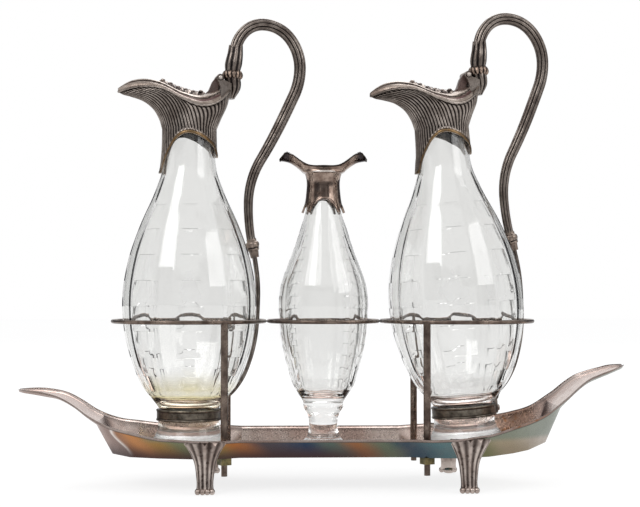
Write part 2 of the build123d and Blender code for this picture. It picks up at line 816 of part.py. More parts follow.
def handle_ferrule(grip, strap):
    """Moulded collar where the grip meets the strap."""
    slope = math.radians(-78)
    place = Plane((ferrule_reach, 0, ferrule_height), x_dir=(0, 1, 0), z_dir=(math.cos(slope), 0, math.sin(slope)))
    with BuildPart() as ferrule:
        with BuildSketch(place):
            Circle(ferrule_radius)
        extrude(amount=ferrule_length / 2, both=True, taper=12)
        add(grip, mode=Mode.SUBTRACT)
        add(strap, mode=Mode.SUBTRACT)
    return ferrule.part


def waist_band():
    """Silver band round the glass waist, bored for the screw of the strap."""
    with BuildPart() as band:
        with BuildSketch(Plane.XY.offset(band_start)):
            Circle(jug_waist_radius + band_thickness)
            Circle(jug_waist_radius, mode=Mode.SUBTRACT)
        extrude(amount=band_end - band_start)
        with BuildSketch(Plane.YZ):
            with Locations((0, (band_start + band_end) / 2)):
                Circle(screw_radius)
        extrude(amount=jug_waist_radius * 2, mode=Mode.SUBTRACT)
    return band.part


def band_screw():
    """Screw through the tab and the band, with a slotted head."""
    middle = (band_start + band_end) / 2
    seat = jug_waist_radius + band_thickness + tab_thickness
    with BuildPart() as screw:
        with BuildSketch(Plane.YZ.offset(jug_waist_radius + 0.2)):
            with Locations((0, middle)):
                Circle(screw_radius)
        extrude(amount=seat - jug_waist_radius - 0.2)
        with BuildSketch(Plane.YZ.offset(seat)):
            with Locations((0, middle)):
                Circle(screw_head_radius)
        extrude(amount=screw_head_height, taper=14)
    return screw.part


def make_jugs():
    """Make one jug's pieces in its own frame and set them down for both jugs."""
    grip = handle_grip()
    strap = handle_strap()
    pieces = {
        "jug_glass": jug_glass(),
        "mount": mount(),
        "hinge_pin": hinge_pin(),
        "lid": lid(),
        "lid_ornament": lid_ornament(),
        "handle": grip,
        "handle_calyx": handle_calyx(grip),
        "handle_ferrule": handle_ferrule(grip, strap),
        "handle_strap": strap,
        "waist_band": waist_band(),
        "band_screw": band_screw(),
    }
    for name, piece in pieces.items():
        write(piece.moved(left_jug_location), f"left_{name}")
        write(piece.moved(right_jug_location), f"right_{name}")


# Centre flask
def flask_outline():
    """Heights and radii of the flask between its stem and its neck."""
    start = flask_base_thickness - 4.0
    rise = flask_belly_height - start
    swell = flask_belly_radius - flask_knop_radius
    fall = flask_neck_start - flask_belly_height
    drop = flask_belly_radius - flask_neck_radius
    below = [(0.16, 0.40), (0.34, 0.63), (0.59, 0.87), (0.83, 0.975)]
    above = [(0.18, 0.92), (0.35, 0.72), (0.53, 0.48), (0.75, 0.24), (0.92, 0.06)]
    lower = [(start + rise * a, flask_knop_radius + swell * b) for a, b in below]
    upper = [(flask_belly_height + fall * a, flask_neck_radius + drop * b) for a, b in above]
    belly = (flask_belly_height, flask_belly_radius)
    return [(start, flask_knop_radius), *lower, belly, *upper, (flask_neck_start, flask_neck_radius)]


def make_flask_glass():
    outline = flask_outline()
    points = [(radius, height) for height, radius in outline]
    hollow = [(radius - flask_glass_wall, height) for height, radius in outline if height > flask_base_thickness + 8]
    low = flask_base_thickness
    knop = flask_base_thickness - 4.0
    with BuildPart() as glass:
        with BuildSketch(Plane.XZ):
            with BuildLine():
                Polyline((0, 0), (flask_foot_radius - 1, 0), (flask_foot_radius, 1.2), (flask_foot_radius, 3.0))
                Spline((flask_foot_radius, 3.0), (flask_stem_radius + 2.0, 7.5), (flask_stem_radius, 16.0),
                       tangents=((-1, 0.3), (0, 1)))
                Spline((flask_stem_radius, 16.0), (flask_stem_radius + 0.4, 21.0), (flask_knop_radius, knop - 3.4),
                       tangents=((0, 1), (0.9, 1)))
                Line((flask_knop_radius, knop - 3.4), points[0])
                Spline(*points, tangents=((0.5, 1), (0, 1)))
                Polyline(points[-1], (flask_neck_radius, flask_neck_end), (0, flask_neck_end), (0, 0))
            make_face()
            with BuildLine():
                inner_neck = flask_neck_radius - flask_glass_wall
                Line((0, low), (flask_knop_radius - 7, low))
                Spline((flask_knop_radius - 7, low), *hollow, tangents=((1, 0.3), (0, 1)))
                Polyline((inner_neck, flask_neck_start), (inner_neck, flask_neck_end + 1),
                         (0, flask_neck_end + 1), (0, low))
            make_face(mode=Mode.SUBTRACT)
        revolve(axis=Axis.Z)
    write(glass.part.moved(flask_location), "flask_glass")


def flask_lip(inset):
    """Mouth with a raised spout at each end, as a full block; an inset draws in walls and floor."""
    shape = [(0, 0, 0.8), (0.235, 0, 0.8), (0.38, 0.11, 0.95), (0.51, 0.36, 1.0), (0.635, 0.69, 1.02),
             (0.76, 0.98, 1.08), (0.89, 1.0, 0.93), (1.0, 0.62, 0.25)]
    top = [(flask_lip_reach * out, flask_mount_top + flask_horn_rise * up) for out, up, _ in shape]
    under = [(x, z - flask_lip_depth * deep + inset) for (x, z), (_, _, deep) in zip(top, shape)]
    crest = [(x, z + inset * 5) for x, z in top]
    under = [(-x, z) for x, z in reversed(under[1:])] + under
    crest = [(-x, z) for x, z in reversed(crest[1:])] + crest
    widths = [(1.0, 0), (0.95, 0.33), (0.80, 0.48), (0.60, 0.60), (0.40, 0.80), (0.20, 0.95), (0, 1)]
    quarter = [((flask_lip_reach - inset) * out, max(flask_lip_half_width * wide - inset, 0)) for out, wide in widths]
    rear = quarter + [(-x, y) for x, y in reversed(quarter[:-1])]
    plan = rear + [(x, -y) for x, y in reversed(rear[1:-1])]
    with BuildPart() as lip:
        with BuildSketch(Plane.XZ):
            with BuildLine():
                Spline(*under)
                Line(under[-1], crest[-1])
                Spline(*reversed(crest))
                Line(crest[0], under[0])
            make_face()
        extrude(amount=flask_lip_half_width * 2, both=True)
        with BuildSketch(Plane.XY.offset(flask_mount_top - flask_lip_depth * 2)):
            with BuildLine():
                Spline(*plan, periodic=True)
            make_face()
        extrude(amount=flask_lip_depth * 2 + flask_horn_rise * 3, mode=Mode.INTERSECT)
    return lip.part


def make_flask_mount():
    flare = flask_mount_outer + 2.9
    collar_top = flask_mount_top - 3.0
    with BuildPart() as mount:
        with BuildSketch(Plane.XZ):
            with BuildLine():
                Line((0, flask_mount_bottom), (flare, flask_mount_bottom))
                Spline((flare, flask_mount_bottom), (flask_mount_outer, flask_mount_bottom + 12.5),
                       (flask_mount_outer, flask_mount_top - 7.0), tangents=((-0.25, 1), (0, 1)))
                Spline((flask_mount_outer, flask_mount_top - 7.0), (flask_mount_outer + 1.6, collar_top),
                       tangents=((0, 1), (1, 1)))
                Polyline((flask_mount_outer + 1.6, collar_top), (0, collar_top), (0, flask_mount_bottom))
            make_face()
        revolve(axis=Axis.Z)
        add(flask_lip(0))
        add(flask_lip(flask_lip_wall), mode=Mode.SUBTRACT)
        with BuildSketch(Plane.XZ):
            with BuildLine():
                inner = flask_mount_inner
                Polyline((0, flask_mount_bottom - 1), (flare - flask_mount_wall, flask_mount_bottom - 1),
                         (flare - flask_mount_wall, flask_mount_bottom), (inner, flask_mount_bottom + 12.5),
                         (inner, flask_mount_top + 20), (0, flask_mount_top + 20), close=True)
            make_face()
        revolve(axis=Axis.Z, mode=Mode.SUBTRACT)
        with BuildSketch(Plane.XZ):
            with BuildLine():
                half = flask_arch_half
                Spline((-half, flask_mount_bottom), (0, flask_mount_bottom + flask_arch_rise),
                       (half, flask_mount_bottom), tangents=((0.4, 1), (0.4, -1)))
                Polyline((half, flask_mount_bottom), (half, flask_mount_bottom - 3),
                         (-half, flask_mount_bottom - 3), (-half, flask_mount_bottom))
            make_face()
        extrude(amount=30, both=True, mode=Mode.SUBTRACT)
        for turn in (flask_side_arch_turn, 180 - flask_side_arch_turn):
            with BuildSketch(Plane((0, 0, flask_mount_bottom), x_dir=(0, 0, 1),
                                   z_dir=(math.cos(math.radians(turn)), math.sin(math.radians(turn)), 0))):
                Ellipse(flask_side_arch_rise, flask_side_arch_half)
            extrude(amount=30, both=True, mode=Mode.SUBTRACT)
    write(mount.part.moved(flask_location), "flask_mount")


make_tray()
make_foot("foot_front_left", -foot_left_place, -1)
make_foot("foot_rear_left", -foot_left_place, 1)
make_foot("foot_front_right", foot_right_place, -1)
make_foot("foot_rear_right", foot_right_place, 1)
make_gallery()
make_jugs()
make_flask_glass()
make_flask_mount()
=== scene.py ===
"""Antique decanter set: two cut-glass jugs with silver mounts and hinged lids, and a slender flask
between them, in a ringed gallery on a boat-shaped tray with four cast feet.

Sizes are millimetres until a mesh is written. Each jug is worked out in its own frame: X points to
the handle, -X to the pouring lip, and Z, called height, starts under the glass foot.
"""
import json
import logging
import math
from dataclasses import dataclass, field
from enum import Enum

import bpy
import numpy as np
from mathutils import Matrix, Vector


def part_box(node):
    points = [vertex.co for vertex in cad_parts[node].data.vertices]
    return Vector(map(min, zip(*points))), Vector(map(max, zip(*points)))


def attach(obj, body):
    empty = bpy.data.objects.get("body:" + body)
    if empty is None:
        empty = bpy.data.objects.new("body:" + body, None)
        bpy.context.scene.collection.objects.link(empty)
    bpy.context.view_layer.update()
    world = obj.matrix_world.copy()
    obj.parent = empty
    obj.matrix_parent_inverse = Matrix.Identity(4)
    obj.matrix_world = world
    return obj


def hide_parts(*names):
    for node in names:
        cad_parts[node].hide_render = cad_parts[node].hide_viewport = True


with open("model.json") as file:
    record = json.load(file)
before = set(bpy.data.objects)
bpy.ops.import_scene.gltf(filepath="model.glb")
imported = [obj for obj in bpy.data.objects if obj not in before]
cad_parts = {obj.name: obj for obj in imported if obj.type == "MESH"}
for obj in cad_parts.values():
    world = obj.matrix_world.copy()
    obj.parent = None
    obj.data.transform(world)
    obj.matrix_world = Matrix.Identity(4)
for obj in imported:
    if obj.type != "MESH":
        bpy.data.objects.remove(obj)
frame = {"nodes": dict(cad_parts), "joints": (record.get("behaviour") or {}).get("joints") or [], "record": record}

LOG = logging.getLogger("decanter_set")
METRES = 0.001
FULL_TURN = 2 * math.pi
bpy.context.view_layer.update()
Colour = tuple[float, float, float, float]
Table = tuple[tuple[float, ...], ...]

# Sizes that more than one piece of a jug takes
HINGE_REACH = 20.3
HINGE_HEIGHT = 251.9
KNUCKLE_RADIUS = 2.5
LIP_REACH = 48.8
MOUNT_BACK = 28.5
WAIST_RADIUS = 20.6
BOWL_DEPTH = 9.0


class Side(Enum):
    """The two jugs, by the end of the tray that they stand at."""

    LEFT = "left"
    RIGHT = "right"


def tint(red: float, green: float, blue: float) -> Colour:
    """Gives the linear colour of a display colour written as three values from 0 to 255.

    Returns:
        The colour with full opacity, by the display curve of 2.4 with its straight foot.
    """
    share = np.array([red, green, blue]) / 255
    linear = np.where(share <= 0.04045, share / 12.92, ((share + 0.055) / 1.055) ** 2.4)
    return (*linear.tolist(), 1.0)


# Curves and surfaces worked out as arrays

def full_turn(count: int) -> np.ndarray:
    """Gives evenly spaced angles round a full turn, the last a step short of the first."""
    return np.linspace(0, FULL_TURN, count, endpoint=False)


def reeding(reeds: int, columns: int) -> np.ndarray:
    """Gives 1 on the crown of each round reed and 0 in the sharp valleys between them.

    It is the absolute sine of half the reed count times the angle.
    """
    return np.abs(np.sin(reeds * full_turn(columns) / 2))


def circle_points(reach: float, height: float, radius: float, turn: np.ndarray) -> np.ndarray:
    """Gives points on a circle at the angles of a turn, one row each."""
    return np.stack([reach + radius * np.cos(turn), height + radius * np.sin(turn)], -1)


def full_rows(values: np.ndarray, columns: int) -> np.ndarray:
    """Repeats one value for each row over all columns."""
    return np.broadcast_to(values[:, None], (len(values), columns))


def bowl(base: float, radius: float, flat: float, steps: int) -> tuple[np.ndarray, np.ndarray]:
    """Gives the round bottom of a hollow.

    At a share of a quarter turn the height falls with the sine, and the radius shrinks to the flat's
    with the cosine to the power 0.7.

    Args:
        base: Height of the glass under the hollow.
        radius: Radius of the hollow where the bottom starts.
        flat: Radius of the flat in the middle.
        steps: Number of rows, with the first, which the wall already has.

    Returns:
        Its heights and its radii, from the wall down.
    """
    quarter = np.linspace(0, 1, steps)[1:] * math.pi / 2
    return base + BOWL_DEPTH * (1 - np.sin(quarter)), flat + (radius - flat) * np.cos(quarter) ** 0.7


def side_outline(foot: tuple[float, float], widest: tuple[float, float], neck: tuple[float, float],
                 low: Table, high: Table) -> tuple[np.ndarray, np.ndarray]:
    """Gives the side of a vessel from its foot over its widest place to its neck.

    Args:
        foot: Height and radius where the side starts.
        widest: Height and radius of the widest place.
        neck: Height and radius where the side ends.
        low: Shares of the rise and of the swell, up to the widest place.
        high: Shares of the rise above it, and of the swell that is left.

    Returns:
        The heights and the radii.
    """
    (start, narrow), (middle, wide), (end, slim) = foot, widest, neck
    below, above = np.array(low), np.array(high)
    return (np.concatenate([start + (middle - start) * below[:, 0], middle + (end - middle) * above[:, 0]]),
            np.concatenate([narrow + (wide - narrow) * below[:, 1], slim + (wide - slim) * above[:, 1]]))


def measured(grid: np.ndarray) -> tuple[np.ndarray, np.ndarray, np.ndarray, np.ndarray]:
    """Measures a sheet whose rows climb and whose columns run round it.

    A normal is the cross product of the steps round and up, cut to length 1.

    Args:
        grid: Rows, columns and three coordinates.

    Returns:
        The outward normals, the columns' spacing, and the distances from the first row and the last.
    """
    along = np.gradient(grid, axis=0)
    around = np.roll(grid, -1, 1) - np.roll(grid, 1, 1)
    normal = np.cross(around, along)
    normal /= np.linalg.norm(normal, axis=-1, keepdims=True) + 1e-9
    step = np.linalg.norm(along, axis=-1)
    from_low = np.cumsum(step, 0) - step
    return normal, np.linalg.norm(around, axis=-1) / 2, from_low, from_low[-1] - from_low


def smooth_values(places: np.ndarray, values: np.ndarray, at: np.ndarray) -> np.ndarray:
    """Gives a smooth curve through knots.

    Each span is a cubic with the knots' values and slopes; a knot's slope is the weighted mean of
    the slopes beside it.

    Args:
        places: Rising places of the knots.
        values: One value, or one row of values, for each knot.
        at: Places to read, held between the first knot and the last.

    Returns:
        The values at those places.
    """
    places = np.asarray(places, float)
    values = np.asarray(values, float)
    slopes = np.gradient(values, places, axis=0)
    at = np.clip(at, places[0], places[-1])
    span = np.clip(np.searchsorted(places, at, side="right") - 1, 0, len(places) - 2)
    width = places[span + 1] - places[span]
    share = (at - places[span]) / width
    if values.ndim > 1:
        share, width = share[..., None], width[..., None]
    square, cube = share**2, share**3
    return (
        values[span] * (2 * cube - 3 * square + 1)
        + slopes[span] * width * (cube - 2 * square + share)
        + values[span + 1] * (3 * square - 2 * cube)
        + slopes[span + 1] * width * (cube - square)
    )


def ramp(values: np.ndarray, low: float, high: float) -> np.ndarray:
    """Rises smoothly from 0 at low to 1 at high."""
    share = np.clip((values - low) / (high - low), 0, 1)
    return share * share * (3 - 2 * share)


def swelling(values: np.ndarray, centre: float, width: float) -> np.ndarray:
    """Gives a round bump of height 1 and a half width, 0 outside it."""
    return np.sqrt(np.clip(1 - ((values - centre) / width) ** 2, 0, 1))


def arc_route(knots: list[tuple[float, float, float]], count: int) -> tuple[np.ndarray, np.ndarray]:
    """Samples a line of tangent arcs, two to each span of a route.

    An arc that leaves a point at angle a and turns by 2b reaches, at share s, the point at distance
    chord times sin(b s) / sin(b) in the direction a + b s.

    Args:
        knots: Points of the route, each with its heading in degrees.
        count: Number of samples, evenly spaced along the line.

    Returns:
        The points, one row each, and the headings in radians.
    """
    shares = np.linspace(0, 1, 40)
    points, headings = [], []
    for (x0, z0, a0), (x1, z1, a1) in zip(knots, knots[1:]):
        a0, a1 = math.radians(a0), math.radians(a1)
        start, end = np.array([x0, z0]), np.array([x1, z1])
        first, last = np.array([math.cos(a0), math.sin(a0)]), np.array([math.cos(a1), math.sin(a1)])
        gap = end - start
        along, spread = gap @ (first + last), 1 - first @ last
        square = gap @ gap
        reach = square / (2 * along) if spread < 1e-6 else (
            math.sqrt(along**2 + 2 * spread * square) - along) / (2 * spread)
        meeting = (start + end + reach * (first - last)) / 2
        heading = a0
        for begin, finish in ((start, meeting), (meeting, end)):
            chord = finish - begin
            half = math.atan2(chord[1], chord[0]) - heading
            half = (half + math.pi) % FULL_TURN - math.pi
            length = np.hypot(*chord)
            grow = shares if abs(half) < 1e-5 else np.sin(half * shares) / math.sin(half)
            turned = heading + half * shares
            points.append(begin + length * grow[:, None] * np.stack([np.cos(turned), np.sin(turned)], -1))
            headings.append(heading + 2 * half * shares)
            heading += 2 * half
    line, turn = np.concatenate(points), np.unwrap(np.concatenate(headings))
    steps = np.hypot(*np.diff(line, axis=0).T)
    keep = np.concatenate([[True], steps > 1e-6])
    line, turn = line[keep], turn[keep]
    length = np.concatenate([[0], np.cumsum(np.hypot(*np.diff(line, axis=0).T))])
    even = np.linspace(0, length[-1], count)
    place = np.stack([np.interp(even, length, line[:, axis]) for axis in (0, 1)], -1)
    return place, np.interp(even, length, turn)


@dataclass
class Surface:
    """Points, faces and shading values of one closed sheet of a piece."""

    points: np.ndarray
    faces: list[list[int]]
    groove: np.ndarray
    tone: np.ndarray

    def outward(self) -> "Surface":
        """Turns the faces round if they enclose a negative volume, the sum of corner products."""
        corners = np.array([face[:3] for face in self.faces])
        fourth = np.array([face if len(face) == 4 else [*face, face[2]] for face in self.faces])[:, 3]
        a, b, c, d = (self.points[index] for index in (*corners.T, fourth))
        volume = np.einsum("ij,ij->", a, np.cross(b, c)) + np.einsum("ij,ij->", a, np.cross(c, d))
        if volume < 0:
            self.faces = [face[::-1] for face in self.faces]
        return self


def grid_surface(points: np.ndarray, groove: np.ndarray | float = 0.0, tone: np.ndarray | float = 0.0,
                 ring: bool = False) -> Surface:
    """Makes a closed surface from a grid whose columns run round it.

    Args:
        points: Grid of rows, columns and three coordinates.
        groove: How deep each point lies in a groove, from 0 to 1.
        tone: Free mask that a finish reads, from 0 to 1.
        ring: True where the last row joins the first; otherwise a fan closes each end.

    Returns:
        The surface with its faces turned outwards.
    """
    rows, columns = points.shape[:2]
    index = np.arange(rows * columns).reshape(rows, columns)
    flat = points.reshape(-1, 3)
    depth = np.broadcast_to(groove, (rows, columns)).reshape(-1)
    mask = np.broadcast_to(tone, (rows, columns)).reshape(-1)
    wrapped = np.hstack([index, index[:, :1]])
    if ring:
        wrapped = np.vstack([wrapped, wrapped[:1]])
    quads = np.stack([wrapped[:-1, :-1], wrapped[:-1, 1:], wrapped[1:, 1:], wrapped[1:, :-1]], -1)
    faces = quads.reshape(-1, 4).tolist()
    if not ring:
        centres = np.stack([points[0].mean(0), points[-1].mean(0)])
        flat = np.concatenate([flat, centres])
        depth = np.concatenate([depth, depth[[0, -1]]])
        mask = np.concatenate([mask, mask[[0, -1]]])
        pole = rows * columns
        first = np.stack([wrapped[0, 1:], wrapped[0, :-1], np.full(columns, pole)], -1)
        last = np.stack([wrapped[-1, :-1], wrapped[-1, 1:], np.full(columns, pole + 1)], -1)
        faces += first.tolist() + last.tolist()
    return Surface(flat, faces, depth, mask).outward()


def turned(heights: np.ndarray, radii: np.ndarray, count: int) -> np.ndarray:
    """Grid of a shape turned about Z: each row is a circle of its radius at its height.

    Args:
        heights: Height of each row.
        radii: Radius of each row, or of each row and column.
        count: Number of columns round.

    Returns:
        The grid of points.
    """
    angle = full_turn(count)
    radii = np.broadcast_to(np.asarray(radii, float).reshape(len(heights), -1), (len(heights), count))
    return np.stack([radii * np.cos(angle), radii * np.sin(angle),
                     np.broadcast_to(np.asarray(heights)[:, None], radii.shape)], -1)


def swept(line: np.ndarray, heading: np.ndarray, depth: np.ndarray, width: np.ndarray,
          count: int, shape: np.ndarray | float = 1.0) -> np.ndarray:
    """Grid of a bar carried along a line in the plane of the handle.

    A row is an oval round its point: depth across the line in the plane, width along Y, both times
    the shape factor of each column.

    Args:
        line: Points of the line in X and height, one row each.
        heading: Its direction at each point, in radians.
        depth: Half the bar's depth at each point.
        width: Half its width at each point.
        count: Number of columns round.
        shape: Factor of each column, or of each row and column.

    Returns:
        The grid of points.
    """
    angle = full_turn(count)
    across = np.asarray(depth)[..., None] * np.cos(angle) * shape
    aside = np.asarray(width)[..., None] * np.sin(angle) * shape
    return np.stack([line[:, :1] - np.sin(heading)[:, None] * across, aside,
                     line[:, 1:] + np.cos(heading)[:, None] * across], -1)


def slab(outline: np.ndarray, low: float, high: float, edge: float) -> Surface:
    """Flat plate in the plane of the handle, between two places on Y, with softened edges.

    Args:
        outline: Points of the outline in X and height, one row each.
        low: Place of one face on Y.
        high: Place of the other face.
        edge: How far the faces are drawn in at their edges.

    Returns:
        The closed plate.
    """
    centre = outline.mean(0)
    reach = np.hypot(*(outline - centre).T)[:, None]
    inner = centre + (outline - centre) * (1 - edge / reach)
    rows = ((inner, low), (outline, low + edge), (outline, high - edge), (inner, high))
    return grid_surface(np.stack([
        np.stack([line[:, 0], np.full(len(line), place), line[:, 1]], -1) for line, place in rows]))


def ball(centre: tuple[float, float, float], radii: tuple[float, float, float], rows: int = 10,
         columns: int = 16) -> Surface:
    """Oval ball: a half turn of latitudes by a full turn of longitudes.

    Returns:
        The closed ball.
    """
    near_pole = 0.08
    polar = np.linspace(near_pole, math.pi - near_pole, rows)
    grid = turned(np.cos(polar), np.sin(polar), columns) * np.array(radii) + np.array(centre)
    return grid_surface(grid)


@dataclass(frozen=True)
class Placing:
    """Where a jug or flask stands: its origin and its three axes, as columns."""

    origin: np.ndarray
    axes: np.ndarray

    def placed(self, points: np.ndarray) -> np.ndarray:
        """Moves points from the vessel's own frame to the set's frame."""
        return points @ self.axes.T + self.origin


def joint(name: str) -> dict:
    """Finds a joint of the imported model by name."""
    return next(entry for entry in frame["joints"] if entry["name"] == name)


def make_piece(name: str, surfaces: list[Surface], material: bpy.types.Material, body: str,
               replaced: tuple[str, ...] = (), placing: Placing | None = None,
               crease: float = 40.0) -> bpy.types.Object:
    """Writes surfaces into one mesh object and ties it to the frame.

    Args:
        name: Name of the piece.
        surfaces: Its closed surfaces, in millimetres.
        material: Its finish.
        body: Body that it rides on.
        replaced: Nodes that it stands for.
        placing: Frame that the surfaces were worked out in, if not the set's own.
        crease: Angle in degrees past which an edge is shaded sharp.

    Returns:
        The new object.
    """
    starts = np.cumsum([0] + [len(surface.points) for surface in surfaces])
    points = np.concatenate([surface.points for surface in surfaces])
    if placing is not None:
        points = placing.placed(points)
    faces = [[corner + start for corner in face]
             for surface, start in zip(surfaces, starts.tolist()) for face in surface.faces]
    mesh = bpy.data.meshes.new(name)
    mesh.from_pydata((points * METRES).tolist(), [], faces)
    for label in ("groove", "tone"):
        values = np.concatenate([getattr(surface, label) for surface in surfaces]).astype(np.float32)
        mesh.attributes.new(label, "FLOAT", "POINT").data.foreach_set("value", values)
    mesh.shade_smooth()
    mesh.set_sharp_from_angle(angle=math.radians(crease))
    mesh.materials.append(material)
    mesh.update()
    piece = bpy.data.objects.new(name, mesh)
    bpy.context.scene.collection.objects.link(piece)
    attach(piece, body)
    if replaced:
        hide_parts(*replaced)
    LOG.info("%s: %d faces", name, len(faces))
    return piece


def dress(node: str, material: bpy.types.Material) -> None:
    """Gives a node of the frame its finish."""
    slots = frame["nodes"][node].data.materials
    slots.clear()
    slots.append(material)
    LOG.info("%s dressed with %s", node, material.name)


# Finishes

class Graph:
    """Adds and joins the nodes of one node tree."""

    def __init__(self, tree: bpy.types.NodeTree) -> None:
        """Keeps the tree to work in."""
        self.tree = tree

    def node(self, kind: str, inputs: dict | None = None, **settings: object) -> bpy.types.Node:
        """Adds a node.

        Args:
            kind: Its type.
            inputs: Sockets by name or number, each with a value or with the socket that feeds it.
            settings: Its own settings.

        Returns:
            The new node.
        """
        node = self.tree.nodes.new(kind)
        for key, value in settings.items():
            setattr(node, key, value)
        self.feed(node, inputs or {})
        return node

    def feed(self, node: bpy.types.Node, inputs: dict) -> None:
        """Gives sockets of a node, by name or number, a value or the socket that feeds them."""
        for key, value in inputs.items():
            if isinstance(value, bpy.types.NodeSocket):
                self.tree.links.new(value, node.inputs[key])
            else:
                node.inputs[key].default_value = value

    def effect(self, group: bpy.types.NodeTree, **inputs: object) -> bpy.types.Node:
        """Adds a shared effect."""
        return self.node("ShaderNodeGroup", inputs, node_tree=group)

    def place(self) -> bpy.types.NodeSocket:
        """Gives the place on the set, in metres."""
        return self.node("ShaderNodeTexCoord").outputs["Object"]

    def noise(self, place: object, scale: object, detail: float,
              roughness: float = 0.5) -> bpy.types.NodeSocket:
        """Gives a cloudy noise between 0 and 1."""
        return self.node("ShaderNodeTexNoise", {"Vector": place, "Scale": scale, "Detail": detail,
                                                "Roughness": roughness}).outputs["Fac"]

    def bump(self, height: object, strength: float) -> bpy.types.NodeSocket:
        """Gives the normals of a fine relief."""
        return self.node("ShaderNodeBump", {"Height": height, "Strength": strength,
                                            "Distance": 0.0004}).outputs["Normal"]

    def blend(self, factor: object, first: object, second: object, kind: str = "MIX") -> bpy.types.NodeSocket:
        """Mixes two colours by a factor."""
        mix = self.node("ShaderNodeMix", {0: factor, 6: first, 7: second}, data_type="RGBA", blend_type=kind)
        return mix.outputs[2]

    def calc(self, operation: str, first: object, second: object = 0.0,
             held: bool = True) -> bpy.types.NodeSocket:
        """Joins two values by an operation, held between 0 and 1 unless told otherwise."""
        node = self.node("ShaderNodeMath", {0: first, 1: second}, operation=operation, use_clamp=held)
        return node.outputs[0]

    def spread(self, value: object, low: float, high: float, start: float = 0.0,
               end: float = 1.0) -> bpy.types.NodeSocket:
        """Maps a value's range to another, smoothly, with clamped ends."""
        node = self.node("ShaderNodeMapRange", {0: value, 1: low, 2: high, 3: start, 4: end},
                         interpolation_type="SMOOTHSTEP")
        return node.outputs[0]

    def attribute(self, name: str) -> bpy.types.NodeSocket:
        """Reads a value stored on the mesh."""
        return self.node("ShaderNodeAttribute", attribute_name=name).outputs["Fac"]


def effect_group(name: str, inputs: dict[str, float],
                 outputs: tuple[str, ...]) -> tuple[bpy.types.NodeTree, Graph]:
    """Starts a node group with named number sockets.

    Args:
        name: Name of the group.
        inputs: Its inputs, each with its first value.
        outputs: Names of its outputs.

    Returns:
        The group and a graph to fill it with.
    """
    group = bpy.data.node_groups.new(name, "ShaderNodeTree")
    for label, value in inputs.items():
        socket = group.interface.new_socket(label, in_out="INPUT", socket_type="NodeSocketFloat")
        socket.default_value = value
    for label in outputs:
        group.interface.new_socket(label, in_out="OUTPUT", socket_type="NodeSocketFloat")
    return group, Graph(group)


def cloud_group() -> bpy.types.NodeTree:
    """Clouds of tarnish: a coarse noise and a finer one, added and sharpened.

    Returns:
        A group with inputs Scale and Cover and outputs Clouds and Specks.
    """
    group, graph = effect_group("tarnish_clouds", {"Scale": 60.0, "Cover": 0.5}, ("Clouds", "Specks"))
    given = graph.node("NodeGroupInput").outputs
    place = graph.place()
    coarse = graph.noise(place, given["Scale"], 5.0, 0.6)
    specks = graph.noise(place, graph.calc("MULTIPLY", given["Scale"], 6.0, held=False), 3.0)
    clouds = graph.spread(graph.calc("ADD", coarse, given["Cover"], held=False), 0.82, 1.18)
    graph.node("NodeGroupOutput", {"Clouds": clouds, "Specks": graph.spread(specks, 0.5, 0.72)})
    return group


def grain_group() -> bpy.types.NodeTree:
    """Fine wear of old plate: small dents and hairline scratches as a height, and as dull spots.

    Returns:
        A group with inputs Scale and Scratches and outputs Height and Dull.
    """
    group, graph = effect_group("plate_grain", {"Scale": 900.0, "Scratches": 0.4}, ("Height", "Dull"))
    given = graph.node("NodeGroupInput").outputs
    place = graph.place()
    dents = graph.noise(place, given["Scale"], 2.0)
    stretched = graph.node("ShaderNodeMapping", {"Vector": place, "Scale": (1.0, 1.4, 9.0),
                                                 "Rotation": (0.3, 0.5, 0.2)}).outputs["Vector"]
    lines = graph.noise(stretched, given["Scale"], 1.0)
    marks = graph.calc("MULTIPLY", graph.spread(lines, 0.58, 0.7), given["Scratches"])
    graph.node("NodeGroupOutput", {"Height": graph.calc("SUBTRACT", dents, marks),
                                   "Dull": graph.calc("MULTIPLY", dents, 0.9)})
    return group


def crevice_group() -> bpy.types.NodeTree:
    """Dirt in grooves, and the painted shade of the ring round each hinge pin head: the stored groove depth,
    broken up by clouds.

    Returns:
        A group with inputs Depth, Clouds and Strength and the output Dirt.
    """
    group, graph = effect_group("crevice_dirt_and_shade", {"Depth": 0.0, "Clouds": 0.0, "Strength": 1.0}, ("Dirt",))
    given = graph.node("NodeGroupInput").outputs
    deep = graph.spread(given["Depth"], 0.15, 0.8)
    both = graph.calc("ADD", deep, graph.calc("MULTIPLY", given["Clouds"], 0.35))
    graph.node("NodeGroupOutput", {"Dirt": graph.calc("MULTIPLY", both, given["Strength"])})
    return group


@dataclass(frozen=True)
class Effects:
    """The shared effects, each built once."""

    clouds: bpy.types.NodeTree = field(default_factory=cloud_group)
    grain: bpy.types.NodeTree = field(default_factory=grain_group)
    crevice: bpy.types.NodeTree = field(default_factory=crevice_group)


def new_material(name: str) -> tuple[bpy.types.Material, Graph, bpy.types.Node]:
    """Starts a material.

    Returns:
        The material, a graph of its nodes and its main shader.
    """
    material = bpy.data.materials.new(name)
    material.use_nodes = True
    shader = material.node_tree.nodes["Principled BSDF"]
    return material, Graph(material.node_tree), shader


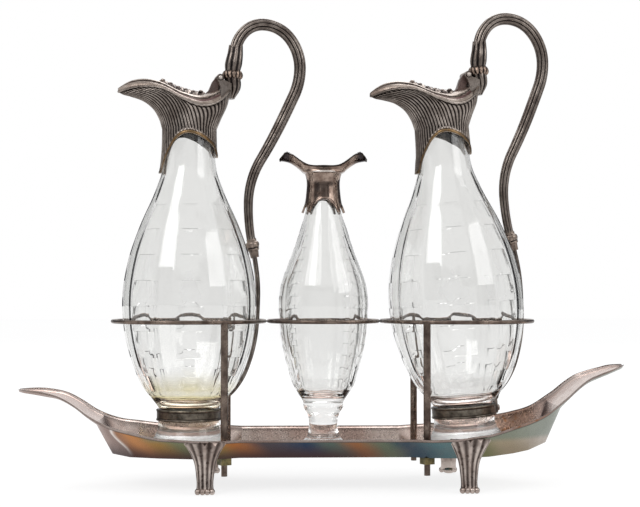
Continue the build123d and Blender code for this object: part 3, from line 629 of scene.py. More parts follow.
@dataclass(frozen=True)
class OldSilver:
    """Worn silver plate: bright ridges, dark grooves, clouds of tarnish and a stain where toned."""

    name: str
    ridge: Colour
    groove: Colour
    cloud: Colour
    stain: Colour
    cloud_scale: float = 70.0
    cloud_cover: float = 0.5
    smooth: float = 0.24
    dull: float = 0.46
    dirt: float = 1.0
    relief: float = 0.06

    def build(self, effects: Effects) -> bpy.types.Material:
        """Builds the material.

        Returns:
            The finished material.
        """
        material, graph, shader = new_material(self.name)
        clouds = graph.effect(effects.clouds, Scale=self.cloud_scale, Cover=self.cloud_cover).outputs
        grain = graph.effect(effects.grain).outputs
        crevice = graph.effect(effects.crevice, Depth=graph.attribute("groove"), Clouds=clouds["Specks"],
                               Strength=self.dirt).outputs
        worn = graph.blend(clouds["Clouds"], self.ridge, self.cloud)
        toned = graph.calc("MULTIPLY", graph.attribute("tone"),
                           graph.spread(clouds["Specks"], 0.0, 1.0, 1.0, 0.55))
        stained = graph.blend(toned, worn, self.stain)
        rough = graph.calc("ADD", graph.calc("MULTIPLY", clouds["Clouds"], 0.5),
                           graph.calc("MULTIPLY", grain["Dull"], 0.6))
        graph.feed(shader, {
            "Base Color": graph.blend(crevice["Dirt"], stained, self.groove),
            "Roughness": graph.spread(rough, 0.0, 1.0, self.smooth, self.dull),
            "Normal": graph.bump(grain["Height"], self.relief), "Metallic": 1.0})
        return material


@dataclass(frozen=True)
class RainbowPlate:
    """Plate of the tray: bands of heat-like tarnish outside and pinkish silver inside, with painted light: a
    highlight line at the left bow's crease, shade lines along the rim bead, and shade towards the foot of the
    outer wall.
    """

    name: str
    inside: Colour
    inside_cloud: Colour
    edge: Colour
    bands: tuple[tuple[float, Colour], ...]
    left_end: float
    right_end: float
    low: float
    high: float
    rust: Colour
    # Painted shade colour for the lines along the rim bead.
    rim_bead_shade: Colour
    # Painted shade colour, darkening the outer wall towards its foot.
    keel: Colour
    sheer: Colour
    rust_from: tuple[float, float] = (0.116, 0.126)
    rust_to: tuple[float, float] = (0.152, 0.142)
    keel_shade_fade: tuple[float, ...] = (0.0215, 0.034, 0.95, 0.0)
    keel_shade_reach: tuple[float, ...] = (0.0, 0.06, 1.0, 0.15)
    sheer_rise: tuple[float, ...] = (0.0315, 0.036, 0.0, 0.6)
    sheer_reach: tuple[float, ...] = (-0.122, -0.112)
    lift: float = 0.044

    def build(self, effects: Effects) -> bpy.types.Material:
        """Builds the material: the bands run along X, bent by noise, and differ a little by height.

        Returns:
            The finished material.
        """
        material, graph, shader = new_material(self.name)
        clouds = graph.effect(effects.clouds, Scale=32.0).outputs
        grain = graph.effect(effects.grain, Scale=300.0).outputs
        place = graph.place()
        parts = graph.node("ShaderNodeSeparateXYZ", {0: place}).outputs
        along = graph.node("ShaderNodeMapRange", {0: parts["X"], 1: self.left_end,
                                                  2: self.right_end}).outputs[0]
        bend = graph.spread(graph.noise(place, 26.0, 2.0), 0.2, 0.8, -0.005, 0.005)
        rise = graph.spread(parts["Z"], self.low, self.high, 0.0, self.lift)
        bent = graph.calc("ADD", rise, graph.calc("ADD", bend, along, held=False), held=False)
        scale = graph.node("ShaderNodeValToRGB", {0: bent})
        scale.color_ramp.interpolation = "EASE"
        elements = scale.color_ramp.elements
        while len(elements) < len(self.bands):
            elements.new(0.5)
        for element, (position, colour) in zip(elements, self.bands):
            element.position = position
            element.color = colour
        worn = graph.calc("MULTIPLY", clouds["Clouds"], 0.3)
        outside = graph.blend(worn, scale.outputs["Color"], self.edge)
        # Painted shade: the outer wall darkens towards its foot, fully on the left half and faintly on the right.
        shaded = graph.calc("MULTIPLY", graph.spread(parts["Z"], *self.keel_shade_fade),
                            graph.spread(parts["X"], *self.keel_shade_reach))
        outside = graph.blend(shaded, outside, self.keel)
        topped = graph.calc("MULTIPLY", graph.spread(parts["Z"], *self.sheer_rise),
                            graph.spread(parts["X"], *self.sheer_reach))
        outside = graph.blend(topped, outside, self.sheer)
        inside = graph.blend(clouds["Clouds"], self.inside, self.inside_cloud)
        patch = graph.calc("MULTIPLY", graph.spread(parts["X"], *self.rust_from),
                           graph.spread(parts["X"], *self.rust_to))
        patch = graph.calc("MULTIPLY", patch, graph.spread(clouds["Specks"], 0.0, 0.8, 0.55, 0.95))
        inside = graph.blend(patch, inside, self.rust)
        sides = graph.blend(graph.attribute("tone"), inside, outside)
        graph.feed(shader, {
            # Painted shade: a shadow under the rim bead and dark lines along it, where the groove mask is set.
            "Base Color": graph.blend(graph.attribute("groove"), sides, self.rim_bead_shade),
            "Roughness": graph.spread(grain["Dull"], 0.2, 0.7, 0.2, 0.36),
            "Normal": graph.bump(grain["Height"], 0.008), "Metallic": 1.0})
        return material


@dataclass(frozen=True)
class CutGlass:
    """Clear cut glass, greyed as painted shade where it is seen edge on, with an old residue where toned."""

    name: str
    clear: Colour
    # Painted shade colour for where the glass is seen edge on.
    edge: Colour
    residue: Colour
    frost: float = 0.32

    def build(self) -> bpy.types.Material:
        """Builds the material.

        Returns:
            The finished material.
        """
        material, graph, shader = new_material(self.name)
        facing = graph.node("ShaderNodeLayerWeight", {"Blend": 0.42}).outputs["Facing"]
        # Painted shade: the edge colour greys the glass where its faces turn away from the view.
        body = graph.blend(graph.calc("POWER", facing, 2.6, held=False), self.clear, self.edge)
        graph.feed(shader, {
            "Base Color": graph.blend(graph.attribute("tone"), body, self.residue),
            "Roughness": graph.spread(graph.attribute("groove"), 0.0, 1.0, 0.015, self.frost),
            "IOR": 1.5, "Transmission Weight": 1.0})
        return material


@dataclass
class Finishes:
    """Every material of the set."""

    effects: Effects = field(default_factory=Effects)

    def __post_init__(self) -> None:
        """Builds the materials from their finishes."""
        soot = tint(58, 50, 46)
        self.mount = self.silver("fluted_mount_silver", tint(168, 158, 150), tint(40, 34, 32),
                                 tint(112, 102, 95), tint(118, 90, 50))
        self.leaf = self.silver("crown_leaf_silver", tint(176, 164, 156), tint(34, 29, 29),
                                tint(76, 66, 64), tint(58, 48, 48), cloud_scale=240.0)
        self.flask_mount = self.silver("mottled_mount_silver", tint(166, 148, 136), tint(48, 42, 38),
                                       tint(112, 94, 84), tint(52, 48, 50), cloud_scale=170.0,
                                       cloud_cover=0.52, smooth=0.09, dull=0.24, relief=0.02)
        self.pin = self.silver("hinge_pin_silver", tint(214, 206, 200), soot, tint(176, 166, 158), soot,
                               smooth=0.2, dull=0.34)
        self.lid = self.silver("lid_silver", tint(182, 170, 160), tint(44, 37, 35), tint(126, 112, 103),
                               tint(92, 68, 66), smooth=0.22)
        self.handle = self.silver("reeded_handle_silver", tint(152, 142, 134), tint(30, 26, 26),
                                  tint(98, 88, 82), tint(158, 138, 124))
        self.gallery = self.silver("gallery_wire_silver", tint(128, 114, 104), soot, tint(78, 66, 60),
                                   tint(90, 70, 58), cloud_scale=110.0, smooth=0.2, dull=0.4)
        self.foot = self.silver("cast_foot_silver", tint(194, 182, 174), tint(64, 54, 50),
                                tint(148, 132, 124), tint(120, 96, 88))
        self.band = self.silver("waist_band_silver", tint(132, 124, 112), soot, tint(62, 58, 52),
                                tint(90, 80, 60), cloud_scale=150.0)
        self.nut = self.silver("old_brass_nut", tint(134, 122, 86), soot, tint(78, 78, 60),
                               tint(90, 80, 50), cloud_scale=160.0, smooth=0.34, dull=0.55)
        self.tray = RainbowPlate(
            "rainbow_tray_plate", tint(206, 190, 182), tint(176, 152, 142), tint(120, 104, 92),
            # The near-white stop at 0.090 is a painted highlight along the crease of the left bow.
            ((0.0, tint(186, 168, 160)), (0.05, tint(158, 136, 128)), (0.086, tint(140, 118, 112)),
             (0.090, tint(236, 228, 222)), (0.096, tint(150, 104, 74)), (0.125, tint(186, 128, 80)),
             (0.165, tint(150, 116, 66)), (0.215, tint(108, 114, 84)), (0.27, tint(150, 128, 70)),
             (0.33, tint(166, 100, 46)), (0.39, tint(42, 48, 66)), (0.46, tint(34, 58, 84)),
             (0.52, tint(74, 96, 90)), (0.57, tint(144, 94, 58)), (0.62, tint(92, 106, 88)),
             (0.67, tint(44, 68, 84)), (0.75, tint(78, 114, 120)), (0.81, tint(108, 112, 78)),
             (0.87, tint(150, 138, 116)), (1.0, tint(186, 178, 172))),
            left_end=-0.155, right_end=0.165, low=0.022, high=0.04, rust=tint(168, 118, 86),
            # The two dark colours after the rust are painted shade: lines along the rim bead, and the foot of the
            # outer wall.
            rim_bead_shade=tint(44, 38, 36), keel=tint(66, 50, 50), sheer=tint(104, 122, 112)).build(self.effects)
        self.glass = CutGlass("cut_glass", tint(240, 240, 239), tint(202, 204, 200),
                              tint(236, 226, 178)).build()

    def silver(self, name: str, *colours: Colour,
               **sizes: float) -> bpy.types.Material:
        """Builds one old silver from its ridge, groove, cloud and stain colours."""
        return OldSilver(name, *colours, **sizes).build(self.effects)


# Sub-assemblies

@dataclass
class PanelCutting:
    """How a vessel is cut: wide panels with stacked scoops, parted by narrow flutes."""

    panels: int = 8
    panel_share: float = 0.644
    scoop_tops: tuple[float, ...] = (50.4, 62.8, 80.3, 96.6, 113.8, 131.0, 148.0, 164.5)
    scoop_depth: float = 1.25
    fading: tuple[float, float] = (85.0, 150.0)
    scoop_width: float = 0.70
    front: float = 5.0
    plain_front: bool = False

    def factor(self, angle: np.ndarray) -> np.ndarray:
        """Gives the radius of the many-sided section, 1 in the middle of a wide panel.

        Args:
            angle: Angles round the vessel, measured from the middle of the front panel.

        Returns:
            The distance to the straight side at each angle, times a constant.
        """
        period = FULL_TURN / self.panels
        wide = period * self.panel_share / 2
        local = (angle + period / 2) % period - period / 2
        narrow = period / 2 - wide
        corner = 1 / math.cos(wide)
        on_panel = 1 / np.cos(np.minimum(np.abs(local), wide))
        on_flute = corner * math.cos(narrow) / np.cos(np.clip(period / 2 - np.abs(local), 0, narrow))
        return np.where(np.abs(local) <= wide, on_panel, on_flute)

    def angles(self, columns: int) -> np.ndarray:
        """Gives the columns' angles, measured from the middle of the front panel."""
        return full_turn(columns) + math.pi / 2 - math.radians(self.front)

    def section(self, columns: int, share: np.ndarray) -> np.ndarray:
        """Gives the radius factors of rows that are cut many-sided by a share, 0 for round."""
        return 1 + (self.factor(self.angles(columns)) - 1)[None, :] * share[:, None]

    def cut_wall(self, height: np.ndarray, radius: np.ndarray, share: np.ndarray,
                 columns: int) -> np.ndarray:
        """Cuts a turned wall: many-sided rows less their scoops, both by each row's share.

        Args:
            height: Height of each row.
            radius: Radius of each row before it is cut.
            share: How far each row is cut, from 0 to 1.
            columns: Number of columns round.

        Returns:
            The radius at each row and column.
        """
        scoops = self.scoops(self.angles(columns), height, radius)
        return radius[:, None] * self.section(columns, share) - scoops * share[:, None]

    def scoops(self, angle: np.ndarray, height: np.ndarray, radius: np.ndarray) -> np.ndarray:
        """Gives the depth of the stacked scoops.

        A scoop is deepest under its straight top edge and runs out downwards; across the panel it
        is a flat arch whose width shrinks as a circle to nothing at the bottom. Higher scoops are
        shallower.

        Args:
            angle: Angles from the middle of the front panel, one for each column.
            height: Height of each row.
            radius: Radius of each row.

        Returns:
            The depth at each row and column, in millimetres.
        """
        period = FULL_TURN / self.panels
        local = (angle + period / 2) % period - period / 2
        number = np.round(angle / period).astype(int) % self.panels
        across = local[None, :] * radius[:, None]
        half = radius * math.sin(period * self.panel_share / 2) * self.scoop_width
        total = np.zeros((len(height), len(angle)))
        tops = np.array(self.scoop_tops)
        lows = np.concatenate([[tops[0] - (tops[1] - tops[0])], tops[:-1]])
        for top, low in zip(tops, lows):
            fall = (top - height) / (top - low)
            inside = (fall > 0) & (fall < 1)
            taper = np.sqrt(np.clip(1 - fall**2, 1e-6, 1))
            arch = np.clip(1 - (across / (half * taper)[:, None]) ** 2, 0, 1)
            deepest = self.scoop_depth * (1 - 0.65 * float(ramp(np.array(top), *self.fading)))
            depth = deepest * np.clip(1 - fall, 0, 1)[:, None] * np.sqrt(arch)
            total += np.where(inside[:, None], depth, 0)
        if self.plain_front:
            total = np.where((number % (self.panels // 2) == 0)[None, :], 0, total)
        return total


@dataclass
class JugGlass:
    """Blown and cut body of a jug."""

    side: Side
    placing: Placing
    foot_radius: float = 27.0
    foot_edge: float = 5.0
    waist_radius: float = WAIST_RADIUS
    waist_start: float = 18.0
    waist_end: float = 28.4
    belly_radius: float = 44.9
    belly_height: float = 98.5
    neck_radius: float = 17.2
    neck_start: float = 201.0
    neck_end: float = 228.0
    wall: float = 2.4
    base: float = 31.0
    flat: float = 4.0
    cut_end: tuple[float, float] = (176.0, 190.0)
    inner_share: float = 0.85
    turn: float = 10.0
    columns: int = 192
    rows: int = 190
    inner_rows: int = 70
    bowl_rows: int = 12

    def outline(self) -> tuple[np.ndarray, np.ndarray]:
        """Gives the heights and radii of the body between the waist and the neck."""
        return side_outline(
            (self.waist_end, self.waist_radius), (self.belly_height, self.belly_radius),
            (self.neck_start, self.neck_radius), ((0, 0), (0.2, 0.43), (0.49, 0.774), (1, 1)),
            ((0.29, 0.852), (0.525, 0.555), (0.735, 0.215), (0.88, 0.05), (1, 0)))

    def surface(self, cutting: PanelCutting) -> Surface:
        """Works out the glass: cut outside from the foot to the mouth, then the smooth hollow.

        Returns:
            One closed surface.
        """
        heights, radii = self.outline()
        edge, wide = self.foot_edge, self.foot_radius
        foot_heights = np.array([0, 0, 1.5, edge, edge + 1.2, edge + 3.2, edge + 7.5, self.waist_start,
                                 self.waist_end - 1.0])
        foot_radii = np.array([wide * 0.5, wide - 1, wide, wide, wide - 1.2, wide - 3.4, wide - 5.6,
                               self.waist_radius, self.waist_radius])
        tops = np.array(cutting.scoop_tops)
        # Rows close above and below each scoop's top keep its edge sharp.
        rows = np.unique(np.concatenate([np.linspace(self.waist_end, self.neck_start, self.rows), tops + 0.05,
                                         tops - 0.12, tops - 0.5]))
        body = smooth_values(heights, radii, rows)
        uncut = 1 - ramp(rows, *self.cut_end)
        outside = cutting.cut_wall(rows, body, ramp(rows, self.waist_end + 2, self.waist_end + 16) * uncut,
                                   self.columns)
        inner_rows = np.linspace(self.neck_start, self.base + BOWL_DEPTH, self.inner_rows)
        inner = smooth_values(heights, radii, inner_rows) - self.wall
        inner_cut = ramp(inner_rows, self.base + 12, self.base + 30) * (1 - ramp(inner_rows, *self.cut_end))
        hollow = inner[:, None] * cutting.section(self.columns, self.inner_share * inner_cut)
        bowl_heights, bowl_radii = bowl(self.base, inner[-1], self.flat, self.bowl_rows)
        mouth = np.array([self.neck_radius, self.neck_radius - self.wall])
        all_heights = np.concatenate([foot_heights, rows, [self.neck_end] * 2, inner_rows, bowl_heights])
        foot, lip, bottom = (full_rows(radii, self.columns) for radii in (foot_radii, mouth, bowl_radii))
        all_radii = np.concatenate([foot, outside, lip, hollow, bottom])
        frost = 1 - ramp(all_heights, 6, 16)
        frost[len(foot_heights) + len(rows):] = 0
        residue = np.zeros_like(all_heights)
        if self.side is Side.LEFT:
            residue = 0.8 * (1 - ramp(all_heights, 27, 52)) * ramp(all_heights, 12, 24)
        grid = turned(all_heights, all_radii, self.columns)
        return grid_surface(grid, groove=frost[:, None], tone=residue[:, None])

    def build(self, finishes: Finishes) -> None:
        """Makes the glass in place of its plain solid."""
        name = self.side.value
        # The jug is turned in its ring, so the panel that faces the viewer is turned back.
        cutting = PanelCutting(front=(4.0 if self.side is Side.LEFT else -2.0) - self.turn)
        make_piece(f"{name}_cut_glass_body", [self.surface(cutting)], finishes.glass, f"jug_{name}",
                   (f"{name}_jug_glass",), self.placing, crease=28.0)


@dataclass
class JugMount:
    """Fluted silver collar, neck and pouring lip with the two hinge lugs."""

    side: Side
    placing: Placing
    wall: float = 1.2
    waist: float = 18.55
    skirt: float = 20.9
    skirt_height: float = 185.5
    waist_height: float = 216.6
    arch_height: float = 212.5
    arch_shift: float = 3.0
    arch_lip_side: float = 186.5
    arch_handle_side: float = 194.5
    lip_reach: float = LIP_REACH
    lip_under: float = 238.6
    mouth_half: float = 21.0
    back: float = MOUNT_BACK
    flutes: int = 54
    flute_sweep: float = 0.35
    hinge_reach: float = HINGE_REACH
    hinge_height: float = HINGE_HEIGHT
    knuckle_radius: float = KNUCKLE_RADIUS
    lug_inner: float = 3.25
    lug_width: float = 3.4
    columns: int = 432
    skirt_rows: int = 24
    mouth_rows: int = 42

    def rim(self, place: np.ndarray) -> np.ndarray:
        """Gives the height of the rim at a place on X, as the side view shows it."""
        low = self.lip_under - 5.4
        knots = np.array([
            (-self.lip_reach - 4, 6.4), (-self.lip_reach, 8.0), (-35.0, 11.2), (-23.0, 10.2), (-5.0, 1.6),
            (6.0, -1.5), (13.0, -0.5), (19.0, 2.6), (self.back, 12.0), (self.back + 6, 20.0)])
        return low + smooth_values(knots[:, 0], knots[:, 1], place)

    def arch(self, place: np.ndarray) -> np.ndarray:
        """Gives the height of the arched lower edge at a place on X, its crown towards the lip."""
        half, crown, top = self.skirt - 0.6, -self.arch_shift, self.arch_height
        knots = np.array([
            (-half, self.arch_lip_side), (-half * 0.92, self.arch_lip_side + 6.5),
            (crown - (half + crown) * 0.62, top - 7.6), (crown - 5.5, top - 1.7), (crown, top),
            (crown + 6.5, top - 1.4), (crown + (half - crown) * 0.62, top - 5.6),
            (half * 0.9, self.arch_handle_side + 5.5), (half, self.arch_handle_side)])
        return smooth_values(knots[:, 0], knots[:, 1], place)

    def skirt_radius(self, height: np.ndarray) -> np.ndarray:
        """Gives the radius of the skirt, which flares downwards from the waist."""
        rise, flare = self.waist_height - self.skirt_height, self.skirt - self.waist
        knots = np.array([(0, 1), (0.17, 0.6), (0.42, 0.25), (0.72, 0.05), (1, 0)])
        return smooth_values(self.skirt_height + rise * knots[:, 0], self.waist + flare * knots[:, 1], height)

    def shell(self, angle: np.ndarray) -> np.ndarray:
        """Gives points of the plain outside, one column for each angle.

        Up to the waist a row is a circle. Above it each column climbs from the waist to the rim
        by shares: behind, a row is an oval; in front it is drawn out to the lip, and its width
        shrinks with the square of the cosine of the angle.

        Args:
            angle: Angles round the mount, 0 at the handle.

        Returns:
            The points, from the arched lower edge to the rim.
        """
        along, across = np.cos(angle), np.sin(angle)
        low = np.full_like(angle, self.arch_lip_side)
        for _ in range(4):
            low = self.arch(self.skirt_radius(low) * along)
        share = np.linspace(0, 1, self.skirt_rows, endpoint=False)[:, None]
        height = low + (self.waist_height - low) * share
        radius = self.skirt_radius(height)
        skirt = np.stack([radius * along, radius * across, height], -1)
        steps = np.linspace(0, 1, 7)
        shares = np.array([(0, 0, 0, 0), (0.275, 0.07, 0.33, 0.15), (0.55, 0.21, 0.7, 0.4),
                           (0.752, 0.43, 0.85, 0.65), (0.862, 0.7, 0.92, 0.85), (0.917, 0.88, 0.96, 0.92),
                           (1, 1, 1, 1)])
        read = smooth_values(steps, shares, np.linspace(0, 1, self.mouth_rows))
        climb, front, rear, wide = (read[:, index, None] for index in range(4))
        front = self.waist + (self.lip_reach - self.waist) * front
        rear = self.waist + (self.back - self.waist) * rear
        half = self.waist + (self.mouth_half - self.waist) * wide
        narrowing = np.minimum(np.maximum(front / self.waist - 1, 0) * 0.47, 0.8)
        x = np.where(along >= 0, rear, front) * along
        y = half * across * np.where(along >= 0, 1, 1 - narrowing * along**2)
        z = self.waist_height + (self.rim(x[-1]) - self.waist_height) * climb
        return np.concatenate([skirt, np.stack([x, y, z], -1)])

    def surface(self) -> Surface:
        """Works out the fluted wall between its arched lower edge and its rim.

        A flute keeps the value angle minus sweep times height share times sine of the angle, so it
        leans towards the lip as it climbs.

        Returns:
            One closed shell, a ring of rows up the outside and down the inside.
        """
        angle = full_turn(self.columns)
        grid = self.shell(angle)
        normal, spacing, from_low, from_high = measured(grid)
        pitch = spacing * self.columns / self.flutes
        share = np.concatenate([np.zeros(self.skirt_rows), np.linspace(0, 1, self.mouth_rows)])[:, None]
        wave = 0.5 - 0.5 * np.cos(self.flutes * (angle - self.flute_sweep * share * np.sin(angle)))
        valley = (1 - wave) ** 1.4
        round_back = (angle + math.pi) % FULL_TURN - math.pi
        fluted = ramp(np.abs(round_back), math.radians(20), math.radians(27))
        fade = ramp(from_low, 1.8, 4.5) * ramp(from_high, 0.9, 2.0) * fluted
        depth = np.minimum(pitch * 0.26, 0.8) * valley * fade
        bead = 0.5 * swelling(from_high, 0.7, 0.9) + 0.3 * swelling(from_low, 0.7, 0.9)
        outer = grid + normal * (bead - depth)[..., None]
        inner = grid - normal * self.wall
        border = 0.85 * (1 - ramp(from_low, 1.7, 3.0))
        groove = np.maximum(valley * fade, 0.8 * swelling(from_high, 2.0, 0.5))
        groove = np.maximum(groove, 0.5 * swelling(from_low, 2.1, 0.5))
        still = np.zeros_like(border)
        return grid_surface(np.concatenate([outer, inner[::-1]]), np.concatenate([groove, still]),
                            np.concatenate([border, still]), ring=True)

    def lugs(self) -> list[Surface]:
        """Works out the two arms with round eyes that carry the hinge pin."""
        turn = np.radians(np.linspace(200, -40, 22))
        eye = circle_points(self.hinge_reach, self.hinge_height, self.knuckle_radius, turn)
        arm = np.array([(self.back - 0.4, self.hinge_height - 4), (self.back - 0.6, self.hinge_height - 13.5),
                        (self.hinge_reach + 0.1, self.hinge_height - 13.9),
                        (self.hinge_reach - 0.2, self.hinge_height - 6.5)])
        outline = np.concatenate([eye, arm])
        places = ((self.lug_inner, self.lug_inner + self.lug_width),
                  (-self.lug_inner - self.lug_width, -self.lug_inner))
        return [slab(outline, low, high, 0.35) for low, high in places]

    def pin_heads(self) -> list[Surface]:
        """Works out the round head at each end of the hinge pin, over a flat dark ring that paints the shade round
        the head's edge.
        """
        heads = []
        for way in (1, -1):
            face = way * (self.lug_inner + self.lug_width)
            heads.append(ball((self.hinge_reach, face, self.hinge_height), (1.5, 1.2, 1.5)))
            # A flat ball in full groove colour: painted shade round the pin head.
            pin_shade_ring = ball((self.hinge_reach, face, self.hinge_height), (2.2, 0.5, 2.2))
            pin_shade_ring.groove = np.ones_like(pin_shade_ring.groove)
            heads.append(pin_shade_ring)
        return heads

    def build(self, finishes: Finishes) -> None:
        """Makes the mount in place of its plain solid."""
        name = self.side.value
        make_piece(f"{name}_pin_heads", self.pin_heads(), finishes.pin, f"jug_{name}",
                   placing=self.placing)
        make_piece(f"{name}_fluted_mount", [self.surface(), *self.lugs()], finishes.mount, f"jug_{name}",
                   (f"{name}_mount",), self.placing)
        dress(f"{name}_hinge_pin", finishes.pin)


@dataclass
class JugLid:
    """Domed lid with its mouldings, its knuckle and the leaf along its crown."""

    side: Side
    placing: Placing
    rim_low: float = 233.2
    lip_reach: float = LIP_REACH
    wall: float = 1.2
    crown: float = 5.2
    gap: float = 0.3
    lid_back: float = 19.6
    hinge_reach: float = HINGE_REACH
    hinge_height: float = HINGE_HEIGHT
    knuckle_radius: float = KNUCKLE_RADIUS
    knuckle_half: float = 3.1
    leaf_centre: float = -5.0
    leaf_half: float = 15.6
    leaf_width: float = 5.9
    lobe_pitch: float = 5.2
    rows: int = 150
    columns: int = 72

    def stations(self) -> np.ndarray:
        """Gives place, half width, underside and crown height at the stations along the lid."""
        low, crown = self.rim_low, self.crown
        return np.array([
            (-self.lip_reach + 0.4, 1.6, low + 8.1, 1.6), (-44.0, 4.6, low + 9.7, 3.2),
            (-35.0, 9.8, low + 11.2, crown - 0.4), (-23.0, 15.0, low + 10.2, crown),
            (-5.0, 19.8, low + 1.6, crown + 1.7), (6.0, 20.2, low - 1.5, crown + 2.9),
            (13.0, 18.2, low - 0.5, crown + 3.6), (self.lid_back, 14.2, low + 2.9, crown + 2.6)])

    def dome(self, place: np.ndarray, share: np.ndarray) -> np.ndarray:
        """Gives points of the plain top: at each place the section is an arc through both edges.

        Args:
            place: Places along X.
            share: Place across, from -1 at one edge to 1 at the other.

        Returns:
            A grid of points, one row for each place.
        """
        knots = self.stations()
        half, under, rise = smooth_values(knots[:, 0], knots[:, 1:], place).T
        radius = (half**2 + rise**2) / (2 * rise)
        y = half[:, None] * share
        z = (under + self.gap + rise - radius)[:, None] + np.sqrt(np.maximum(radius[:, None] ** 2 - y**2, 0))
        x = np.broadcast_to(place[:, None], y.shape)
        return np.stack([x, y, z], -1)

    def surface(self) -> Surface:
        """Works out the shell: the dome with two mouldings along each edge, and its hollow.

        Returns:
            One closed surface whose columns run over the top and back underneath.
        """
        ease = np.linspace(0, 1, self.rows)
        place = -self.lip_reach + 0.4 + (self.lid_back + self.lip_reach - 0.4) * ease
        across = np.linspace(-1, 1, self.columns)
        top = self.dome(place, across)
        knots = self.stations()
        half = smooth_values(knots[:, 0], knots[:, 1], place)[:, None]
        from_edge = (1 - np.abs(across))[None, :] * half
        scale = np.clip(half / 12, 0.25, 1)
        lower = swelling(from_edge, 0.9, 0.9)
        upper = swelling(from_edge / scale, 6.4, 1.5)
        channel = ramp(from_edge / scale, 1.6, 2.6) * (1 - ramp(from_edge / scale, 4.2, 5.2))
        relief = (0.55 * lower + 0.75 * upper - 0.5 * channel) * np.clip(half / 8, 0.2, 1)
        top[..., 2] += relief
        bottom = self.dome(place, across[::-1] * 0.94)
        bottom[..., 2] -= np.minimum(self.wall, half * 0.4)
        grid = np.concatenate([top, bottom], 1)
        groove = 0.75 * swelling(from_edge / scale, 1.9, 0.35) + 0.85 * swelling(from_edge / scale, 5.0, 0.4)
        tone = channel * ramp(place, -32, -8)[:, None]
        flat = np.zeros_like(groove)
        return grid_surface(grid, np.concatenate([groove, flat + 0.4], 1), np.concatenate([tone, flat], 1))

    def knuckle(self) -> list[Surface]:
        """Works out the tail, a solid block that climbs to the hinge, and the round knuckle on the pin."""
        root, reach, pin = self.rim_low + 6.7, self.hinge_reach, self.hinge_height
        tail = np.array([
            (9.0, root), (12.6, root + 3.0), (14.0, root + 6.0), (reach - 4.9, pin - 2.6),
            (reach - 1.6, pin + self.knuckle_radius - 0.7), (reach, pin), (self.lid_back - 0.4, root + 2.6),
            (self.lid_back - 2, root + 1.0)])
        disc = circle_points(reach, pin, self.knuckle_radius, full_turn(28))
        block = slab(tail[::-1], -self.knuckle_half, self.knuckle_half, 0.4)
        block.tone = np.full_like(block.tone, 0.7)
        return [block, slab(disc, -self.knuckle_half, self.knuckle_half, 0.3)]

    def leaf(self) -> list[Surface]:
        """Works out the cast leaf: a lobed blade along the crown and a row of knobs on its rib.

        Returns:
            The blade, which follows the dome, and the knobs.
        """
        from_centre = np.linspace(-self.leaf_half, self.leaf_half, 120)
        place = self.leaf_centre + from_centre
        share = np.linspace(-1, 1, 33)
        knots = self.stations()
        half = smooth_values(knots[:, 0], knots[:, 1], place)
        oval = np.sqrt(np.clip(1 - (from_centre / (self.leaf_half + 0.1)) ** 2, 0.01, 1))
        phase = from_centre * math.pi / self.lobe_pitch
        lobes = 1 - 0.3 * np.abs(np.sin(phase))
        blade = (self.leaf_width * oval * lobes)[:, None] * share
        top = self.dome(place, blade / half[:, None])
        wave = np.abs(np.cos(phase[:, None] + np.abs(share) * 1.4))
        rib = swelling(share, 0, 0.22)[None, :]
        height = (0.8 + 2.0 * (1 - share**2) ** 0.5 * wave + 0.7 * rib) * oval[:, None] ** 0.6
        top[..., 2] += height
        bottom = self.dome(place, (blade / half[:, None])[:, ::-1])
        bottom[..., 2] -= 0.4
        groove = np.clip(1 - wave * 1.6, 0, 1) * (1 - rib)
        flat = np.zeros_like(groove)
        blade_surface = grid_surface(np.concatenate([top, bottom], 1), np.concatenate([groove, flat], 1))
        crest = self.dome(np.arange(-18.2, 8.5, self.lobe_pitch), np.zeros(1))[:, 0].tolist()
        knobs = [ball((x, 0.0, z + 2.2), (1.6, 2.2, 1.2)) for x, _, z in crest]
        return [blade_surface, *knobs]

    def build(self, finishes: Finishes) -> None:
        """Makes the lid and its leaf in place of their plain solids."""
        name = self.side.value
        make_piece(f"{name}_domed_lid", [self.surface(), *self.knuckle()], finishes.lid, f"lid_{name}",
                   (f"{name}_lid",), self.placing)
        make_piece(f"{name}_crown_leaf", self.leaf(), finishes.leaf, f"lid_{name}",
                   (f"{name}_lid_ornament",), self.placing)


